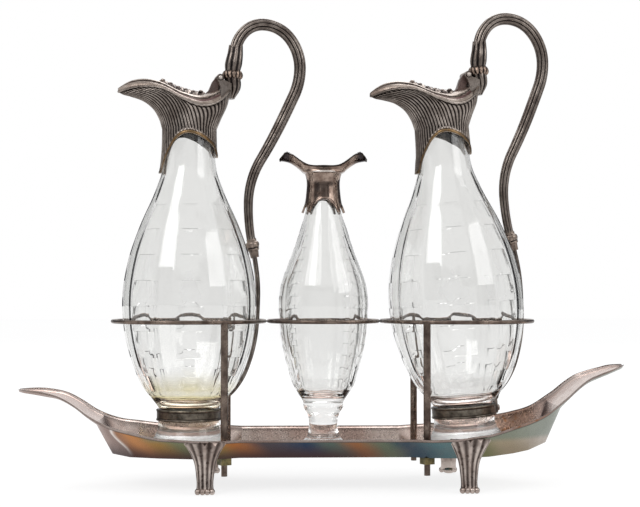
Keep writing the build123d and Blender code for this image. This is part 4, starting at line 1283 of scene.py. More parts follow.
@dataclass
class JugHandle:
    """Reeded handle with its leafy socket, ferrule and strap down to the waist band."""

    side: Side
    placing: Placing
    radius: float = 4.1
    taper: float = 1.1
    top: float = 290.0
    root_drop: float = 37.0
    reach: float = 76.6
    ferrule_height: float = 137.0
    ferrule_reach: float = 43.5
    ferrule_slope: float = -78.0
    strap_centre: float = 47.3
    band_radius: float = WAIST_RADIUS
    band_thickness: float = 1.3
    band_low: float = 19.6
    band_high: float = 27.2
    tab_thickness: float = 1.8
    strap_half_width: float = 2.8
    mount_back: float = MOUNT_BACK
    reeds: int = 9
    strap_reeds: int = 6
    leaves: int = 8
    ruffles: int = 14
    grip_grid: tuple[int, int] = (340, 90)
    strap_grid: tuple[int, int] = (200, 60)
    calyx_grid: tuple[int, int] = (70, 96)
    ferrule_grid: tuple[int, int] = (44, 64)
    band_grid: tuple[int, int] = (22, 120)

    def grip(self) -> Surface:
        """Works out the grip: a bar of tangent arcs whose section is a ring of round reeds."""
        rows, columns = self.grip_grid
        line, heading = arc_route([
            (29.4, self.top - self.root_drop, 86), (31.6, self.top - 17.5, 80), (50.0, self.top, 2),
            (self.reach, self.top - 30.0, -91), (64.2, self.top - 65.6, -116), (40.6, self.top - 123.0, -91),
            (self.ferrule_reach, self.ferrule_height, self.ferrule_slope)], rows)
        size = self.radius - self.taper * ramp(np.linspace(0, 1, rows), 0.5, 1.0)
        valley = 1 - reeding(self.reeds, columns)
        grid = swept(line, heading, size, size, columns, 1 - 0.17 * valley**1.3)
        return grid_surface(grid, valley**2 * 1.3)

    def strap(self) -> list[Surface]:
        """Works out the thin reeded strap and the flat tab that ends it on the band."""
        rows, columns = self.strap_grid
        inner = self.band_radius + self.band_thickness
        line, heading = arc_route([
            (self.ferrule_reach, self.ferrule_height, self.ferrule_slope), (self.strap_centre, 103.0, -91),
            (43.8, 67.0, -104), (32.8, 41.8, -127), (inner + self.tab_thickness, 29.6, -99)], rows)
        depth = np.linspace(1.7, 1.2, rows)
        width = np.full(rows, self.strap_half_width)
        valley = 1 - reeding(self.strap_reeds, columns)
        bar = grid_surface(swept(line, heading, depth, width, columns, 1 - 0.14 * valley), valley**2)
        levels = ((self.band_low + 0.4, self.tab_thickness - 0.5), (self.band_low + 1.0, self.tab_thickness),
                  (self.band_high + 2.6, self.tab_thickness), (self.band_high + 3.8, 0.9))
        near = circle_points(0, 0, inner, np.linspace(-0.13, 0.13, 9))
        tab = []
        for height, thick in levels:
            loop = np.concatenate([near, (near * (1 + thick / inner))[::-1]])
            tab.append(np.concatenate([loop, np.full((len(loop), 1), height)], 1))
        return [bar, grid_surface(np.stack(tab))]

    def calyx(self) -> list[Surface]:
        """Works out the socket: lobed leaves round the root, a ruffled collar and leaf tips above.

        The lobes are cosines round the socket; the collar is a ring whose edge waves.
        """
        rows, columns = self.calyx_grid
        root = self.top - self.root_drop
        levels = np.array([
            (root - 15.0, self.mount_back - 0.2, 2.4, 4.0), (root - 8.0, self.mount_back + 1.6, 4.6, 5.2),
            (root - 1.0, 29.6, 5.4, 5.8), (root + 3.0, 29.6, 5.0, 5.0), (root + 9.0, 30.2, 5.6, 5.6),
            (root + 15.0, 31.2, 5.2, 5.2), (root + 20.0, 31.9, 4.5, 4.5)])
        heights = np.linspace(levels[0, 0], levels[-1, 0], rows)
        centre, deep, wide = smooth_values(levels[:, 0], levels[:, 1:], heights)[..., None].transpose(1, 0, 2)
        angle = full_turn(columns)
        wave = np.cos(self.leaves * angle)
        above = 0.06 * ramp(heights, root + 2, root + 8)
        below = 0.05 * (1 - ramp(heights, root - 4, root))
        shape = 1 + (above + below)[:, None] * wave
        tips = np.clip(np.linspace(8 - rows, 7, rows) / 7, 0, 1)
        z = heights[:, None] + 2.4 * tips[:, None] * (0.5 + 0.5 * wave)
        x, y = centre + deep * np.cos(angle) * shape, wide * np.sin(angle) * shape
        leaves = grid_surface(np.stack([x, y, z], -1), 0.8 * (0.5 - 0.5 * wave))
        turn = full_turn(14)[:, None]
        fold = reeding(self.ruffles, columns)
        radius = (5.0 + 1.6 * np.cos(turn)) * (1 + 0.09 * fold)
        collar = np.stack([29.5 + radius * np.cos(angle), radius * np.sin(angle),
                           root + 1.6 + 2.6 * np.sin(turn) + 0.5 * np.cos(self.ruffles * angle)], -1)
        return [leaves, grid_surface(collar, 1 - fold, 1.0, ring=True)]

    def ferrule(self) -> Surface:
        """Works out the moulded collar: a turned profile of two beads about the line of the strap."""
        rows, columns = self.ferrule_grid
        along = np.linspace(-5.5, 7.5, rows)
        profile = (3.1 + 1.3 * swelling(along, -1.4, 2.2) + 0.7 * swelling(along, 1.6, 1.3)
                   + 0.5 * (1 - ramp(along, 2.0, 7.4)))
        slope = math.radians(self.ferrule_slope)
        line = np.stack([self.ferrule_reach + along * math.cos(slope),
                         self.ferrule_height + along * math.sin(slope)], -1)
        angle = full_turn(columns)
        notch = 1 - 0.06 * (0.5 - 0.5 * np.cos(self.leaves * angle)) * ramp(along, 2.0, 4.0)[:, None]
        inward = np.where(np.cos(angle) > 0, 1.0, 0.88)
        grid = swept(line, np.full(rows, slope), profile, profile, columns, notch * inward)
        return grid_surface(grid, swelling(along, 0.8, 0.5)[:, None], 0.4)

    def band(self) -> Surface:
        """Works out the band round the glass waist: a strip with a bead along both edges."""
        rows, columns = self.band_grid
        share = np.linspace(0, 1, rows)
        height = self.band_low + (self.band_high - self.band_low) * share
        bead = 0.45 * (swelling(share, 0.09, 0.09) + swelling(share, 0.91, 0.09))
        outer = self.band_radius + self.band_thickness - 0.25 + bead
        groove = np.concatenate([swelling(share, 0.2, 0.05) + swelling(share, 0.8, 0.05), np.zeros(rows)])
        radii = np.concatenate([outer, np.full(rows, self.band_radius + 0.02)])
        grid = turned(np.concatenate([height, height[::-1]]), radii, columns)
        return grid_surface(grid, groove[:, None], ring=True)

    def build(self, finishes: Finishes) -> None:
        """Makes the handle's pieces in place of their plain solids."""
        name = self.side.value
        body = f"jug_{name}"
        pieces = (
            ("reeded_grip", [self.grip()], finishes.handle, "handle"),
            ("leafy_socket", self.calyx(), finishes.handle, "handle_calyx"),
            ("moulded_ferrule", [self.ferrule()], finishes.handle, "handle_ferrule"),
            ("reeded_strap", self.strap(), finishes.handle, "handle_strap"),
            ("beaded_band", [self.band()], finishes.band, "waist_band"),
        )
        for label, surfaces, material, node in pieces:
            make_piece(f"{name}_{label}", surfaces, material, body, (f"{name}_{node}",),
                       self.placing)
        dress(f"{name}_band_screw", finishes.handle)


@dataclass
class Flask:
    """Slender cut body of the flask."""

    placing: Placing
    foot_radius: float = 17.0
    stem_radius: float = 9.6
    knop_radius: float = 13.8
    belly_radius: float = 30.0
    belly_height: float = 99.0
    neck_radius: float = 10.5
    neck_start: float = 168.0
    neck_end: float = 186.0
    wall: float = 2.2
    base: float = 36.0
    flat: float = 2.5
    knop_drop: float = 4.0
    cut_end: tuple[float, float] = (148.0, 158.0)
    scoop_pitch: float = 8.2
    columns: int = 160
    rows: int = 170
    inner_rows: int = 60
    bowl_rows: int = 10

    def outline(self) -> tuple[np.ndarray, np.ndarray]:
        """Gives the heights and radii of the flask between its knop and its neck."""
        return side_outline(
            (self.base - self.knop_drop, self.knop_radius), (self.belly_height, self.belly_radius),
            (self.neck_start, self.neck_radius),
            ((0, 0), (0.16, 0.40), (0.34, 0.63), (0.59, 0.87), (0.83, 0.975), (1, 1)),
            ((0.18, 0.92), (0.35, 0.72), (0.53, 0.48), (0.75, 0.24), (0.92, 0.06), (1, 0)))

    def surface(self) -> Surface:
        """Works out the glass: foot, stem and knop, the cut body, then the smooth hollow.

        Returns:
            One closed surface.
        """
        cutting = PanelCutting(scoop_tops=tuple(np.arange(46.0, 150.0, self.scoop_pitch).tolist()),
                               scoop_depth=0.7, scoop_width=0.55, front=2.0, plain_front=True)
        heights, radii = self.outline()
        wide, stem, knop = self.foot_radius, self.stem_radius, self.knop_radius
        foot = np.array([(0, wide * 0.5), (0, wide - 1), (1.2, wide), (3.0, wide), (4.4, wide - 1.8),
                         (7.5, stem + 2.0), (11.0, stem + 0.7), (16.0, stem), (21.0, stem + 0.4),
                         (24.5, knop - 2.6), (27.4, knop - 0.6), (28.6, knop), (31.0, knop - 0.2)])
        tops = np.array(cutting.scoop_tops)
        # Rows close above and below each scoop's top keep its edge sharp.
        rows = np.unique(np.concatenate([
            np.linspace(self.base - self.knop_drop, self.neck_start, self.rows), tops + 0.05, tops - 0.12]))
        body = smooth_values(heights, radii, rows)
        cut = ramp(rows, self.base, self.base + 8) * (1 - ramp(rows, *self.cut_end))
        outside = cutting.cut_wall(rows, body, cut, self.columns)
        inner_rows = np.linspace(self.neck_start, self.base + BOWL_DEPTH, self.inner_rows)
        inner = smooth_values(heights, radii, inner_rows) - self.wall
        bowl_heights, bowl_radii = bowl(self.base, inner[-1], self.flat, self.bowl_rows)
        mouth = np.array([self.neck_radius, self.neck_radius - self.wall])
        all_heights = np.concatenate([foot[:, 0], rows, [self.neck_end] * 2, inner_rows, bowl_heights])
        grid = turned(all_heights, np.concatenate([full_rows(foot[:, 1], self.columns), outside, *(
            full_rows(radii, self.columns) for radii in (mouth, inner, bowl_radii))]), self.columns)
        frost = (1 - ramp(all_heights, 1, 5)) * 0.6
        frost[len(foot) + len(rows):] = 0
        return grid_surface(grid, groove=frost[:, None])

    def build(self, finishes: Finishes) -> None:
        """Makes the glass in place of its plain solid."""
        make_piece("flask_cut_body", [self.surface()], finishes.glass, "flask", ("flask_glass",),
                   self.placing, crease=28.0)


@dataclass
class FlaskMount:
    """Collar with pointed prongs below and a boat-shaped mouth with a spout at each end."""

    placing: Placing
    bottom: float = 160.0
    top: float = 191.0
    radius: float = 11.75
    flare: float = 2.9
    wall: float = 1.1
    lip_reach: float = 29.8
    lip_half: float = 12.6
    lip_depth: float = 5.6
    horn_rise: float = 9.0
    arch_rise: float = 8.8
    side_arch_rise: float = 5.0
    columns: int = 288

    def lower_edge(self, angle: np.ndarray) -> np.ndarray:
        """Gives the height of the lower edge: a wide arch front and back, two narrow ones at each side.

        An arch is a circle's upper half, to the power 1.2, over its span of angles.
        """
        degrees = np.degrees(angle)
        from_side = np.abs((degrees + 90) % 180 - 90)
        wide = np.clip(1 - ((90 - from_side) / 41) ** 2, 0, 1) ** 0.6
        narrow = np.clip(1 - ((from_side - 24) / 15) ** 2, 0, 1) ** 0.5
        return self.bottom + self.arch_rise * wide + self.side_arch_rise * narrow

    def surface(self) -> Surface:
        """Works out the shell: collar, then the mouth as a trough that deepens towards its ends.

        A column of the mouth runs straight from the collar to the rim; its height is the keel's
        plus the wall's height times the power 2.4 of its share across the trough.

        Returns:
            One closed shell, a ring of rows up the outside and down the inside.
        """
        angle = full_turn(self.columns)
        low = self.lower_edge(angle)
        collar_top = self.top - 4.5
        height = low + (collar_top - low) * np.linspace(0, 1, 34)[:, None]
        knots = np.array([(self.bottom, self.flare), (self.bottom + 3.5, self.flare * 0.6),
                          (self.bottom + 8, self.flare * 0.2), (self.bottom + 12.5, 0), (self.top - 7, 0),
                          (collar_top, 0.7)])
        radius = self.radius + smooth_values(knots[:, 0], knots[:, 1], height)
        collar = np.stack([radius * np.cos(angle), radius * np.sin(angle), height], -1)
        shape = np.array([(0, 0, 0.8), (0.235, 0, 0.8), (0.38, 0.11, 0.95), (0.51, 0.36, 1.0),
                          (0.635, 0.69, 1.02), (0.76, 0.98, 1.08), (0.89, 1.0, 0.93), (1.0, 0.62, 0.25)])
        widths = np.array([(0, 1), (0.20, 0.95), (0.40, 0.80), (0.60, 0.60), (0.80, 0.48), (0.95, 0.33),
                           (1.0, 0.05)])
        out = np.abs(np.cos(angle))
        rim_x = self.lip_reach * np.cos(angle)
        rim_y = self.lip_half * smooth_values(widths[:, 0], widths[:, 1], out) * np.sign(np.sin(angle))
        rim_y[np.abs(np.sin(angle)) < 1e-9] = 0
        share = np.linspace(0, 1, 30)[1:, None]
        x = collar[-1, :, 0] + (rim_x - collar[-1, :, 0]) * share
        y = collar[-1, :, 1] + (rim_y - collar[-1, :, 1]) * share
        reach = np.abs(x) / self.lip_reach
        rise, deep = (smooth_values(shape[:, 0], shape[:, column], reach) for column in (1, 2))
        rim = self.top + self.horn_rise * rise
        keel = rim - self.lip_depth * deep
        half = self.lip_half * smooth_values(widths[:, 0], widths[:, 1], reach)
        across = np.clip(np.abs(y) / np.maximum(half, 0.6), 0, 1)
        z = keel + (rim - keel) * across**2.4 * ramp(share, 0, 0.7)
        mouth = np.stack([x, y, z], -1)
        grid = np.concatenate([collar, mouth])
        normal, _, from_low, from_high = measured(grid)
        bead = (0.35 * swelling(from_low, 0.6, 0.8) + 0.35 * swelling(from_high, 0.5, 0.7)
                + 0.4 * swelling(grid[..., 2], collar_top + 1.2, 0.9))
        outer = grid + normal * bead[..., None]
        inner = grid - normal * self.wall
        groove = 0.7 * swelling(from_low, 1.7, 0.5) + 1.2 * swelling(from_high, 0.4, 1.1)
        tips = ramp(np.abs(grid[..., 0]), 19, 25)
        still = np.zeros_like(tips)
        return grid_surface(np.concatenate([outer, inner[::-1]]), np.concatenate([groove, still + 0.5]),
                            np.concatenate([tips, tips[::-1]]), ring=True)

    def bead(self) -> Surface:
        """Works out the bright bead under the mouth: a thin ring round the top of the collar."""
        turn = full_turn(12)
        heights = self.top - 3.4 + 0.75 * np.sin(turn)
        return grid_surface(turned(heights, self.radius + 1.0 + 0.75 * np.cos(turn), 96), ring=True)

    def build(self, finishes: Finishes) -> None:
        """Makes the mount in place of its plain solid."""
        make_piece("flask_spouted_mount", [self.surface()], finishes.flask_mount, "flask",
                   ("flask_mount",), self.placing)
        make_piece("flask_mount_bead", [self.bead()], finishes.pin, "flask",
                   placing=self.placing)


@dataclass
class Tray:
    """Boat-shaped tray: flat panels amidships, a shallow scoop at each end and a beaded rim."""

    floor: float = 22.0
    rim: float = 34.4
    wall: float = 1.2
    mid_floor_half: float = 44.0
    mid_rim_half: float = 53.5
    lobe_floor_half: float = 52.0
    lobe_rim_half: float = 62.5
    mid_half_length: float = 56.0
    lobe_place: float = 85.0
    left_tip: tuple[float, float] = (205.0, 64.3)
    right_tip: tuple[float, float] = (205.0, 80.2)
    left_end: tuple[float, float] = (140.5, 41.8)
    right_end: tuple[float, float] = (148.0, 50.2)
    right_end_floor: float = 29.2
    left_scoop: Table = (
        (0.95, 6.5, 0.90, 9.5, 1.0), (0.85, 11.5, 0.871, 16.0, 1.0), (0.70, 15.5, 0.81, 22.0, 0.95),
        (0.54, 17.0, 0.71, 25.0, 0.83), (0.38, 18.0, 0.45, 27.0, 0.58), (0.25, 20.0, 0.17, 29.5, 0.32),
        (0.16, 23.5, 0.02, 32.0, 0.18))
    right_scoop: Table = (
        (0.165, 24.0, 0.06, 31.5, 0.22), (0.25, 21.5, 0.20, 30.0, 0.34), (0.38, 20.0, 0.42, 28.0, 0.55),
        (0.50, 19.0, 0.59, 26.0, 0.71), (0.63, 17.5, 0.70, 24.0, 0.81), (0.78, 14.5, 0.80, 20.3, 0.90),
        (0.90, 10.5, 0.88, 15.2, 0.97), (0.965, 5.5, 0.91, 9.0, 0.99))

    def scoop(self, way: int, tip: tuple[float, float], end: tuple[float, float],
              table: Table) -> list[tuple[float, ...]]:
        """Gives the stations of a scoop, whose levels are shares of its climb from the bow to the tip.

        Args:
            way: 1 for the right end, -1 for the left.
            tip: Place and rim level of the tip.
            end: Place and rim level of the bow.
            table: Share out, floor half width, floor share, rim half width and rim share.

        Returns:
            The stations in the order of the table.
        """
        reach, climb = tip[0] - end[0], tip[1] - end[1]
        return [(way * (end[0] + reach * out), low, end[1] + climb * floor, high, end[1] + climb * rim)
                for out, low, floor, high, rim in table]

    def stations(self) -> np.ndarray:
        """Gives place, floor half width, floor level, rim half width and rim level."""
        half, brim, floor, rim = self.lobe_floor_half, self.lobe_rim_half, self.floor, self.rim
        left, right, lobe = self.left_end[0], self.right_end[0], self.lobe_place
        middle = (self.mid_floor_half, floor, self.mid_rim_half, rim)
        rows = [(-self.left_tip[0], 1.2, self.left_tip[1] - 1.9, 3.5, self.left_tip[1])]
        rows += self.scoop(-1, self.left_tip, self.left_end, self.left_scoop)
        rows += [
            (-left, 19.0, floor + 0.5, 38.0, self.left_end[1]), (-left + 13, 37.0, floor, 47.0, rim + 4.8),
            (-lobe - 23, half - 6.0, floor, brim - 5.5, rim + 1.6), (-lobe, half, floor, brim, rim + 0.4),
            (-lobe + 17, half - 2, floor, brim - 2, rim), (-self.mid_half_length, *middle),
            (self.mid_half_length, *middle), (lobe - 17, half - 2, floor, brim - 2, rim + 0.2),
            (lobe, half, floor, brim, rim + 0.9), (lobe + 21, half - 5, floor + 0.4, brim - 5, rim + 3.4),
            (right - 25, 40.5, floor + 1.9, 49.5, rim + 7.6),
            (right - 14, 34.5, floor + 3.4, 43.4, rim + 10.4),
            (right, 20.5, self.right_end_floor, 35.0, self.right_end[1])]
        rows += self.scoop(1, self.right_tip, self.right_end, self.right_scoop)
        rows += [(self.right_tip[0], 1.2, self.right_tip[1] - 1.9, 4.0, self.right_tip[1])]
        return np.array(rows)

    def read(self, place: np.ndarray) -> np.ndarray:
        """Reads the stations at places on X: straight along the hull's panels, smooth in the scoops.

        Returns:
            Rows of floor half width, floor level, rim half width and rim level.
        """
        knots = self.stations()
        result = np.stack([np.interp(place, knots[:, 0], knots[:, index]) for index in range(1, 5)], -1)
        bent = smooth_values(knots[:, 0], knots[:, 3:], place)
        ends = ramp(np.abs(place), self.lobe_place + 14, self.lobe_place + 24)[:, None]
        result[:, 2:] = result[:, 2:] * (1 - ends) + bent * ends
        for scoop in (knots[:len(self.left_scoop) + 1], knots[-len(self.right_scoop) - 1:]):
            inside = (place >= scoop[0, 0]) & (place <= scoop[-1, 0])
            result[inside, :2] = smooth_values(scoop[:, 0], scoop[:, 1:3], place[inside])
        return result

    def surface(self) -> Surface:
        """Works out the sheet: a flat-bottomed section with sloping sides and a bead along the rim.

        The section runs round the outside, over the rim and back along the inside. The bead is an
        oval roll, smaller where the section is shallow.

        Returns:
            One closed surface.
        """
        knots = self.stations()[:, 0]
        place = np.concatenate([np.linspace(knots[0], knots[-1], 260), knots, knots + 0.25])
        place = np.unique(place.clip(max=knots[-1]))
        floor_half, floor, rim_half, rim = self.read(place).T
        depth = rim - floor
        slope = (rim_half - floor_half) / depth
        wall = np.minimum(self.wall, depth * 0.4)
        roll = np.clip(depth / 4.0, 0.4, 1.0)
        offset = np.minimum(wall * np.sqrt(1 + slope**2), floor_half + slope * wall - 0.3)
        half_section = []
        masks = []

        def corner(half: np.ndarray, level: np.ndarray, groove: float, outside: float) -> None:
            """Adds one line of the half section, from the keel outwards."""
            half_section.append((half, level))
            masks.append((groove, outside))

        for share in (0.0, 0.25, 0.5, 0.75, 0.97, 1.0):
            corner(floor_half * share, floor, 0.0, 1.0)
        for share in (0.05, 0.35, 0.7, 0.97):
            level = floor + (depth - 1.9 * roll) * share
            corner(floor_half + slope * (level - floor), level, 0.0, 1.0)
        # On the rim's lines the first mask value is painted shade: a shadow line under the bead and dark lines
        # along its crown and inner edge.
        corner(rim_half - slope * 1.75 * roll, rim - 1.75 * roll, 0.9, 1.0)
        for out, down, dark in ((0.3, 1.6, 0.8), (0.72, 1.1, 0.5), (0.7, 0.45, 0.3), (0.3, 0.05, 0.75),
                                (-0.3, 0.0, 0.95), (-0.85, 0.3, 0.8), (-1.1, 0.85, 0.2)):
            corner(rim_half + out * roll, rim - down * roll, dark, 0.0)
        corner(np.maximum(rim_half - offset - slope * 1.7 * roll, 0.5), rim - 1.7 * roll + 0.05, 0.55, 0.0)
        for share in (0.75, 0.5, 0.2, 0.04):
            level = floor + wall + (depth - wall - 1.7 * roll) * share
            corner(np.maximum(floor_half + slope * (level - floor) - offset, 0.4), level, 0.0, 0.0)
        for share in (0.97, 0.7, 0.35, 0.0):
            corner(np.maximum(floor_half + slope * wall - offset, 0.4) * share, floor + wall, 0.0, 0.0)
        halves = np.stack([entry[0] for entry in half_section], -1)
        levels = np.stack([np.broadcast_to(entry[1], floor.shape) for entry in half_section], -1)
        front = np.stack([halves, levels], -1)
        rear = np.stack([-halves[:, ::-1], levels[:, ::-1]], -1)[:, 1:-1]
        loop = np.concatenate([front, rear], 1)
        mask = np.array(masks)
        mask = np.concatenate([mask, mask[::-1][1:-1]])
        grid = np.concatenate([full_rows(place, loop.shape[1])[..., None], loop], -1)
        return grid_surface(grid, mask[:, 0], mask[:, 1])

    def build(self, finishes: Finishes) -> None:
        """Makes the tray in place of its plain solid."""
        make_piece("boat_tray", [self.surface()], finishes.tray, "stand", ("tray",),
                   crease=22.0)


@dataclass
class Foot:
    """Cast foot: ball toes, a slim fluted leg and a fan of arches against the tray's wall."""

    name: str
    place: float
    facing: int
    tray: Tray
    toe_width: float = 12.4
    ankle_width: float = 10.8
    knee_width: float = 14.6
    fan_width: float = 27.0
    flutes: int = 6
    rows: int = 60
    columns: int = 96

    def surface(self) -> list[Surface]:
        """Works out the leg and its toes.

        The leg is a stack of ovals; on its outer half each flute is a round hollow with a sharp
        ridge beside it, and the top edge of the fan rises over each flute as a half circle.

        Returns:
            The leg and the ball toes.
        """
        floor_half, floor, rim_half, rim = self.tray.read(np.array([self.place]))[0]
        outer = rim_half + 0.6
        knots = np.array([
            (2.6, self.toe_width - 1.0, 8.4, outer - 5.4), (5.4, self.ankle_width, 8.0, outer - 6.0),
            (12.0, self.ankle_width + 0.8, 8.0, outer - 6.6),
            (floor - 1.0, self.knee_width, 9.0, outer - 6.2),
            (floor + 6.4, self.knee_width + 6.4, 8.0, outer - 3.0),
            (rim - 1.6, self.fan_width, 5.0, outer - 1.5)])
        height = np.linspace(knots[0, 0], knots[-1, 0], self.rows)
        width, depth, reach = smooth_values(knots[:, 0], knots[:, 1:], height).T
        angle = full_turn(self.columns)
        across = np.sin(angle)
        out = np.cos(angle)
        reed = np.abs(np.sin((np.arcsin(np.clip(across, -1, 1)) / math.pi + 0.5) * math.pi * self.flutes))
        fluted = ramp(out, 0.0, 0.2)
        hollow = reed * fluted
        shape = 1 - 0.17 * hollow
        x = self.place + (width / 2)[:, None] * across * (1 - 0.04 * hollow)
        lean = reach[:, None] + (depth / 2)[:, None] * out * shape
        level = np.broadcast_to(height[:, None], lean.shape).copy()
        share = ramp(height, floor + 4, rim - 1.6)[:, None]
        level = level + share * (reed * 2.6 - 1.6) * fluted
        wall = floor_half + (rim_half - floor_half) / (rim - floor) * (level - floor)
        lean = np.where(level > floor - 0.5, np.maximum(lean, wall - 0.5), lean)
        leg = grid_surface(np.stack([x, self.facing * lean, level], -1), hollow * 0.7)
        toes = [ball((self.place + offset, self.facing * (outer - 2.6 - abs(offset) * 0.18), 2.1),
                     (1.95, 2.3, 2.1)) for offset in (-4.6, -1.55, 1.55, 4.6)]
        heel = ball((self.place, self.facing * (outer - 8.6), 2.2), (4.6, 2.6, 2.2))
        return [leg, *toes, heel]

    def build(self, finishes: Finishes) -> None:
        """Makes the foot in place of its plain solid."""
        make_piece(f"{self.name}_cast", self.surface(), finishes.foot, "stand", (self.name,))


@dataclass
class Gallery:
    """Rings, posts and nuts, whose solids are right as they are."""

    def build(self, finishes: Finishes) -> None:
        """Dresses the wire rings, the posts and the nuts."""
        for node in frame["record"]["behaviour"]["bodies"]["stand"]:
            if node.startswith(("ring", "post")):
                dress(node, finishes.gallery)
            elif node == "gallery_nuts":
                dress(node, finishes.nut)


# Stage

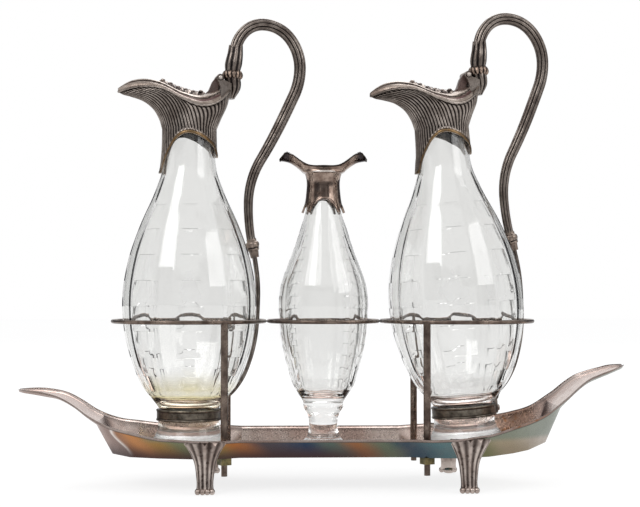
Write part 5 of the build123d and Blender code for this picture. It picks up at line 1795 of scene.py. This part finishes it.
@dataclass
class Studio:
    """Pale floor, plain soft light, white surroundings with grey flags, and the camera."""

    eye: tuple[float, float, float] = (-0.042, -1.050, 0.131)
    aim: tuple[float, float, float] = (-0.0022, 0.0, 0.1558)
    lens: float = 86.85
    lit: tuple[float, float, float] = (0, 0, 0.12)
    floor_half: float = 6.0
    flag: Colour = (0.10, 0.10, 0.11, 1)
    dim: Colour = (0.78, 0.78, 0.79, 1)
    flag_top: tuple[float, float] = (0.45, 0.75)
    flag_edge: tuple[float, float] = (0.22, 0.42)
    glass_flag_edge: tuple[float, float] = (0.34, 0.48)
    strip_edge: tuple[float, float] = (-0.93, -0.87)
    strip_foot: tuple[float, float] = (-0.3, -0.1)

    def camera(self) -> None:
        """Sets the camera at the photograph's viewing angle."""
        data = bpy.data.cameras.new("studio_camera")
        data.lens = self.lens
        data.sensor_width = 36.0
        camera = bpy.data.objects.new("studio_camera", data)
        camera.location = self.eye
        camera.rotation_euler = (Vector(self.aim) - Vector(self.eye)).to_track_quat("-Z", "Y").to_euler()
        bpy.context.scene.collection.objects.link(camera)
        bpy.context.scene.camera = camera

    def lamp(self, name: str, place: tuple[float, float, float], size: float, power: float) -> None:
        """Adds a soft square lamp that faces the middle of the set."""
        data = bpy.data.lights.new(name, "AREA")
        data.size = size
        data.energy = power
        lamp = bpy.data.objects.new(name, data)
        lamp.location = place
        lamp.rotation_euler = (Vector(self.lit) - Vector(place)).to_track_quat("-Z", "Y").to_euler()
        bpy.context.scene.collection.objects.link(lamp)

    def direct_rays(self, graph: Graph) -> bpy.types.NodeSocket:
        """Gives 1 for camera, glossy and transmission rays, and 0 for the rest."""
        path = graph.node("ShaderNodeLightPath").outputs
        seen = graph.calc("ADD", path["Is Camera Ray"], path["Is Glossy Ray"])
        return graph.calc("ADD", seen, path["Is Transmission Ray"])

    def floor(self) -> None:
        """Lays the pale floor, which shows almost white and keeps the object's shadow."""
        material, graph, shader = new_material("studio_floor")
        graph.feed(shader, {"Base Color": (0.9, 0.9, 0.9, 1), "Roughness": 0.9, "Specular IOR Level": 0.0})
        glow = graph.node("ShaderNodeEmission", {"Color": (1, 1, 1, 1), "Strength": 1.08})
        share = graph.calc("MULTIPLY", self.direct_rays(graph), 0.76)
        mix = graph.node("ShaderNodeMixShader", {0: share, 1: shader.outputs[0], 2: glow.outputs[0]})
        graph.tree.links.new(mix.outputs[0], material.node_tree.nodes["Material Output"].inputs["Surface"])
        mesh = bpy.data.meshes.new("studio_floor")
        half = self.floor_half
        corners = [(-half, -half, 0), (half, -half, 0), (half, half, 0), (-half, half, 0)]
        mesh.from_pydata(corners, [], [(0, 1, 2, 3)])
        mesh.materials.append(material)
        ground = bpy.data.objects.new("studio_floor", mesh)
        bpy.context.scene.collection.objects.link(ground)

    def surroundings(self) -> None:
        """Sets the world: white where it is seen straight, with grey flags at the four diagonals.

        The flags are where the product of the two level parts of a direction is near a half or its
        negative; metal and glass pick them up as the dark lines that studio flags give. Metal also
        sees a strip behind the camera.
        """
        world = bpy.data.worlds.new("studio_world")
        bpy.context.scene.world = world
        world.use_nodes = True
        graph = Graph(world.node_tree)
        graph.tree.nodes.clear()
        way = graph.node("ShaderNodeTexCoord").outputs["Generated"]
        x, y, z = graph.node("ShaderNodeSeparateXYZ", {0: way}).outputs
        size = graph.calc("ABSOLUTE", graph.calc("MULTIPLY", x, y, held=False))
        high = graph.spread(z, *self.flag_top, 1.0, 0.0)
        path = graph.node("ShaderNodeLightPath").outputs
        strip = graph.calc("MULTIPLY", graph.spread(y, *self.strip_edge, 0.85, 0.0),
                           graph.spread(z, *self.strip_foot))
        flags = graph.calc("MULTIPLY", graph.spread(size, *self.flag_edge), high)
        in_metal = graph.calc("MAXIMUM", flags, strip)
        outside_glass = graph.calc("SUBTRACT", 1.0, path["Transmission Depth"])
        in_metal = graph.calc("MULTIPLY", in_metal, outside_glass)
        in_metal = graph.calc("MULTIPLY", in_metal, path["Is Glossy Ray"])
        in_glass = graph.calc("MULTIPLY", graph.spread(size, *self.glass_flag_edge, 0.0, 0.3), high)
        in_glass = graph.calc("MULTIPLY", in_glass, path["Is Transmission Ray"])
        seen = graph.blend(graph.calc("MAXIMUM", in_metal, in_glass), (1, 1, 1, 1), self.flag)
        colour = graph.blend(self.direct_rays(graph), self.dim, seen)
        glow = graph.node("ShaderNodeBackground", {"Color": colour, "Strength": 1.0})
        graph.node("ShaderNodeOutputWorld", {"Surface": glow.outputs[0]})

    def build(self) -> None:
        """Sets the stage."""
        bpy.context.scene.view_settings.view_transform = "Standard"
        self.camera()
        self.floor()
        self.surroundings()
        self.lamp("key_lamp", (-1.1, -1.5, 1.5), 1.1, 16.0)
        self.lamp("fill_lamp", (1.4, -1.0, 1.0), 1.0, 8.0)
        self.lamp("back_lamp", (0.3, 1.3, 1.6), 1.0, 10.0)


def jug_placing(side: Side) -> Placing:
    """Finds a jug's frame: Z along its lift, Y along its hinge, the hinge at its known place.

    Returns:
        The placing of the jug.
    """
    lift = np.array(joint(f"jug_{side.value}_lift")["axis"], float)
    lid = joint(f"lid_{side.value}_hinge")
    across = np.array(lid["axis"], float)
    axes = np.stack([np.cross(across, lift), across, lift], -1)
    origin = np.array(lid["pos_m"], float) / METRES - axes @ np.array([HINGE_REACH, 0, HINGE_HEIGHT])
    return Placing(origin, axes)


def main() -> None:
    """Builds the set in order and reports each piece."""
    logging.basicConfig(level=logging.INFO, format="%(name)s: %(message)s")
    finishes = Finishes()
    Studio().build()
    tray = Tray()
    tray.build(finishes)
    for end, place in (("left", -78.0), ("right", 92.0)):
        for face, facing in (("front", -1), ("rear", 1)):
            Foot(f"foot_{face}_{end}", place, facing, tray).build(finishes)
    Gallery().build(finishes)
    for side in Side:
        placing = jug_placing(side)
        JugGlass(side, placing).build(finishes)
        JugMount(side, placing).build(finishes)
        JugLid(side, placing).build(finishes)
        JugHandle(side, placing).build(finishes)
    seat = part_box("flask_glass")[0][2] / METRES
    standing = Placing(np.array([0, 0, seat]), np.eye(3))
    Flask(standing).build(finishes)
    FlaskMount(standing).build(finishes)


if __name__ == "__main__":
    main()
